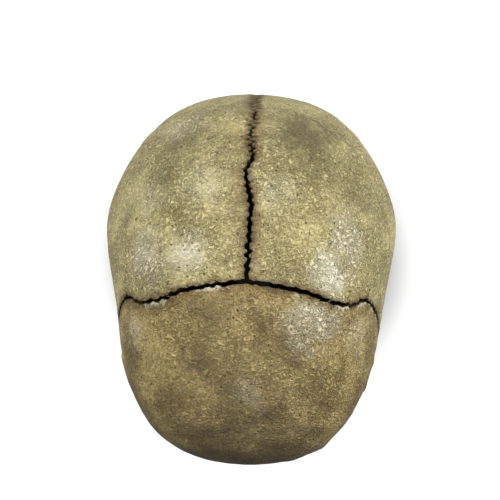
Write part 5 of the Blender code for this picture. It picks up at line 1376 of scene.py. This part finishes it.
# the strong patches just behind the front seam are painted highlights, and the tiny one by the middle seam a
# painted glint; the faint ones are paler bone
PARIETAL_PALE = [(-40, 8, 109, 14, 0.6), (-23, 9, 117, 11, 0.85), (33, 14, 113, 14, 0.95),
                 (41, 2, 109, 14, 0.65), (-39, -16, 108, 11, 0.3), (-16, -19, 117, 14, 0.25),
                 (12, -15, 119, 12, 0.25), (-28, -52, 97, 12, 0.35), (4.2, 13.5, 118, 2.2, 0.9)]
# the three large patches low on the forehead are painted shade, where it turns away from the lamps; the
# smaller ones are stains
FRONTAL_DARK = [(-14, 31, 113, 13, 0.6), (-6.5, 22, 117, 2.6, 0.8), (-46, 46, 86, 17, 0.4),
                (-15, 50, 106, 13, 0.55), (18, 48, 107, 10, 0.4), (-5, 67, 97, 13, 0.55),
                (-25, 64, 97, 17, 0.55), (0, 92, 60, 66, 0.97), (40, 72, 64, 34, 0.7), (-42, 72, 64, 36, 0.8)]
FRONTAL_PALE = [(28, 32, 110, 16, 0.7), (-46, 36, 95, 9, 0.3), (46, 36, 95, 10, 0.3), (3, 60, 102, 8, 0.2)]
finishes = {
    "parietal": bone_finish("bone_parietal", IVORY, BROWN, 0.5, 0.7, 0.5, chalk=0.12,
                            dark=PARIETAL_DARK, pale=PARIETAL_PALE, marks=MARKS),
    "frontal": bone_finish("bone_frontal", FOREHEAD_IVORY, FOREHEAD_BROWN, 0.62, 0.75, 0.6, chalk=0.75,
                           dark=FRONTAL_DARK, pale=FRONTAL_PALE, marks=MARKS),
    "other": bone_finish("bone_face_and_base", FACE_IVORY, FACE_BROWN, 0.52, 0.6, 0.4, 0.48),
}


def tooth_finish():
    """Enamel down to the neck, then the duller, browner root."""
    finish, tree, surface, place = new_finish("tooth_enamel_aged")
    above = node(tree, "ShaderNodeAttribute", attribute_name="above_neck")
    clouds = node(tree, "ShaderNodeTexNoise", {"Vector": place, "Scale": 0.45, "Detail": 4.0})
    cracks = node(tree, "ShaderNodeTexVoronoi", {"Vector": place, "Scale": 0.35},
                  feature="DISTANCE_TO_EDGE")
    crack = ramp(tree, cracks.outputs["Distance"], 0.0, 0.035, 0.55, 0.0)
    enamel = mixed(tree, ramp(tree, clouds.outputs["Fac"], 0.4, 0.7), ENAMEL, ENAMEL_STAINED)
    enamel = mixed(tree, crack, enamel, ENAMEL_CRACK)
    necks = ramp(tree, above.outputs["Fac"], -0.4, 1.3, 1.0, 0.0)
    colour = mixed(tree, necks, enamel, ROOT)
    tree.links.new(colour, surface.inputs["Base Color"])
    tree.links.new(ramp(tree, above.outputs["Fac"], -0.4, 1.3, 0.55, 0.24), surface.inputs["Roughness"])
    surface.inputs["Coat Weight"].default_value = 0.2
    bump = node(tree, "ShaderNodeBump", {"Strength": 0.5, "Distance": 0.2 * MM,
                                         "Height": clouds.outputs["Fac"]})
    tree.links.new(bump.outputs["Normal"], surface.inputs["Normal"])
    return finish


finishes["tooth"] = tooth_finish()


def dress(thing, finish):
    thing.data.materials.clear()
    thing.data.materials.append(finishes[finish])


def finish_of(name):
    """The finish of a bone: forehead, the rest of the braincase, or face and base."""
    if name == "frontal_bone":
        return "frontal"
    return "parietal" if name in VAULT and name != "sphenoid_bone" else "other"


for name, piece in [*bones.items(), ("mandible", mandible)]:
    dress(piece, finish_of(name))
    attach(piece, "jaw" if name == "mandible" else "head")
    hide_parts(name)
for name, piece in teeth.items():
    dress(piece, "tooth")
    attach(piece, "jaw" if name.startswith("lower") else "head")
    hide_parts(name)
for name in ("ethmoid_bone", "vomer", "left_inferior_nasal_concha", "right_inferior_nasal_concha"):
    dress(frame["nodes"][name], "other")

# %% [markdown]
# A pale floor with a painted shadow under the skull, a big soft lamp on either side and one behind: the gloss
# lies on the crown just behind the front seam, with painted highlights there, and the forehead falls into
# shade, deepened by painted shade low on it, as in the photograph. The camera looks down on the crown from
# over the forehead.

# %% Floor, light and camera
LAMP_AIM = (0, 0, 80)


def soft_lamp(name, place, size, power):
    lamp = bpy.data.lights.new(name, "AREA")
    lamp.size = size
    lamp.energy = power
    made = bpy.data.objects.new(name, lamp)
    bpy.context.scene.collection.objects.link(made)
    here = STAND @ place
    aim = STAND @ at(*LAMP_AIM)
    made.matrix_world = Matrix.Translation(here) @ (here - aim).to_track_quat("Z", "Y").to_matrix().to_4x4()


soft_lamp("right_window", at(430, 0, 340), 0.4, 3.5)
soft_lamp("left_window", at(-430, 0, 340), 0.4, 2.35)
soft_lamp("rear_window", at(-70, -260, 540), 0.3, 1.8)

# painted shadow: the floor is nearly black under the skull, where it shows through the gaps and the great
# hole
PAINTED_SHADOW_UNDER_SKULL = (0.02, 0.018, 0.015)
PALE_FLOOR = (0.3, 0.3, 0.3)
floor_mesh = bmesh.new()
bmesh.ops.create_grid(floor_mesh, x_segments=1, y_segments=1, size=4)
floor = to_object("floor", floor_mesh)
floor_finish = bpy.data.materials.new("floor_white")
floor_finish.use_nodes = True
floor_tree = floor_finish.node_tree
floor_surface = floor_tree.nodes["Principled BSDF"]
floor_surface.inputs["Roughness"].default_value = 0.9
floor_surface.inputs["Emission Color"].default_value = (1, 1, 1, 1)
ray = node(floor_tree, "ShaderNodeLightPath")
own = node(floor_tree, "ShaderNodeTexCoord")
apart = node(floor_tree, "ShaderNodeVectorMath", {0: own.outputs["Object"]}, operation="LENGTH")
shaded = mixed(floor_tree, ramp(floor_tree, apart.outputs["Value"], 0.03, 0.07), PAINTED_SHADOW_UNDER_SKULL, PALE_FLOOR)
floor_tree.links.new(shaded, floor_surface.inputs["Base Color"])
glow = times(floor_tree, ramp(floor_tree, apart.outputs["Value"], 0.065, 0.11, 0.0, 0.84),
            ray.outputs["Is Camera Ray"])
floor_tree.links.new(glow, floor_surface.inputs["Emission Strength"])
floor.data.materials.append(floor_finish)

SKY_STRENGTH = 0.17
world = bpy.data.worlds.new("studio")
world.use_nodes = True
bpy.context.scene.world = world
sky = world.node_tree
seen = node(sky, "ShaderNodeLightPath")
backdrop = sky.nodes["Background"]
strength = node(sky, "ShaderNodeMapRange", {"Value": seen.outputs["Is Camera Ray"], "To Min": SKY_STRENGTH,
                                            "To Max": 1.0})
sky.links.new(strength.outputs["Result"], backdrop.inputs["Strength"])
backdrop.inputs["Color"].default_value = (1, 1, 1, 1)

FOCAL_SHARE = 1.2974
CAMERA_PLACE = (12.63, 60.2, 360)
CAMERA_AIM = (0, -5.82, 60)
CAMERA_ROLL = 0.02
eye = bpy.data.cameras.new("camera")
eye.sensor_width = 36
eye.lens = FOCAL_SHARE * eye.sensor_width
camera = bpy.data.objects.new("camera", eye)
bpy.context.scene.collection.objects.link(camera)
here, aim = at(*CAMERA_PLACE), at(*CAMERA_AIM)
back = (here - aim).normalized()
right = Vector((0, 1, 0)).cross(back).normalized()
turned = Matrix((right, back.cross(right), back)).transposed().to_4x4() @ Matrix.Rotation(CAMERA_ROLL, 4, "Z")
camera.matrix_world = STAND @ Matrix.Translation(here) @ turned
bpy.context.scene.camera = camera
bpy.context.scene.view_settings.view_transform = "Standard"
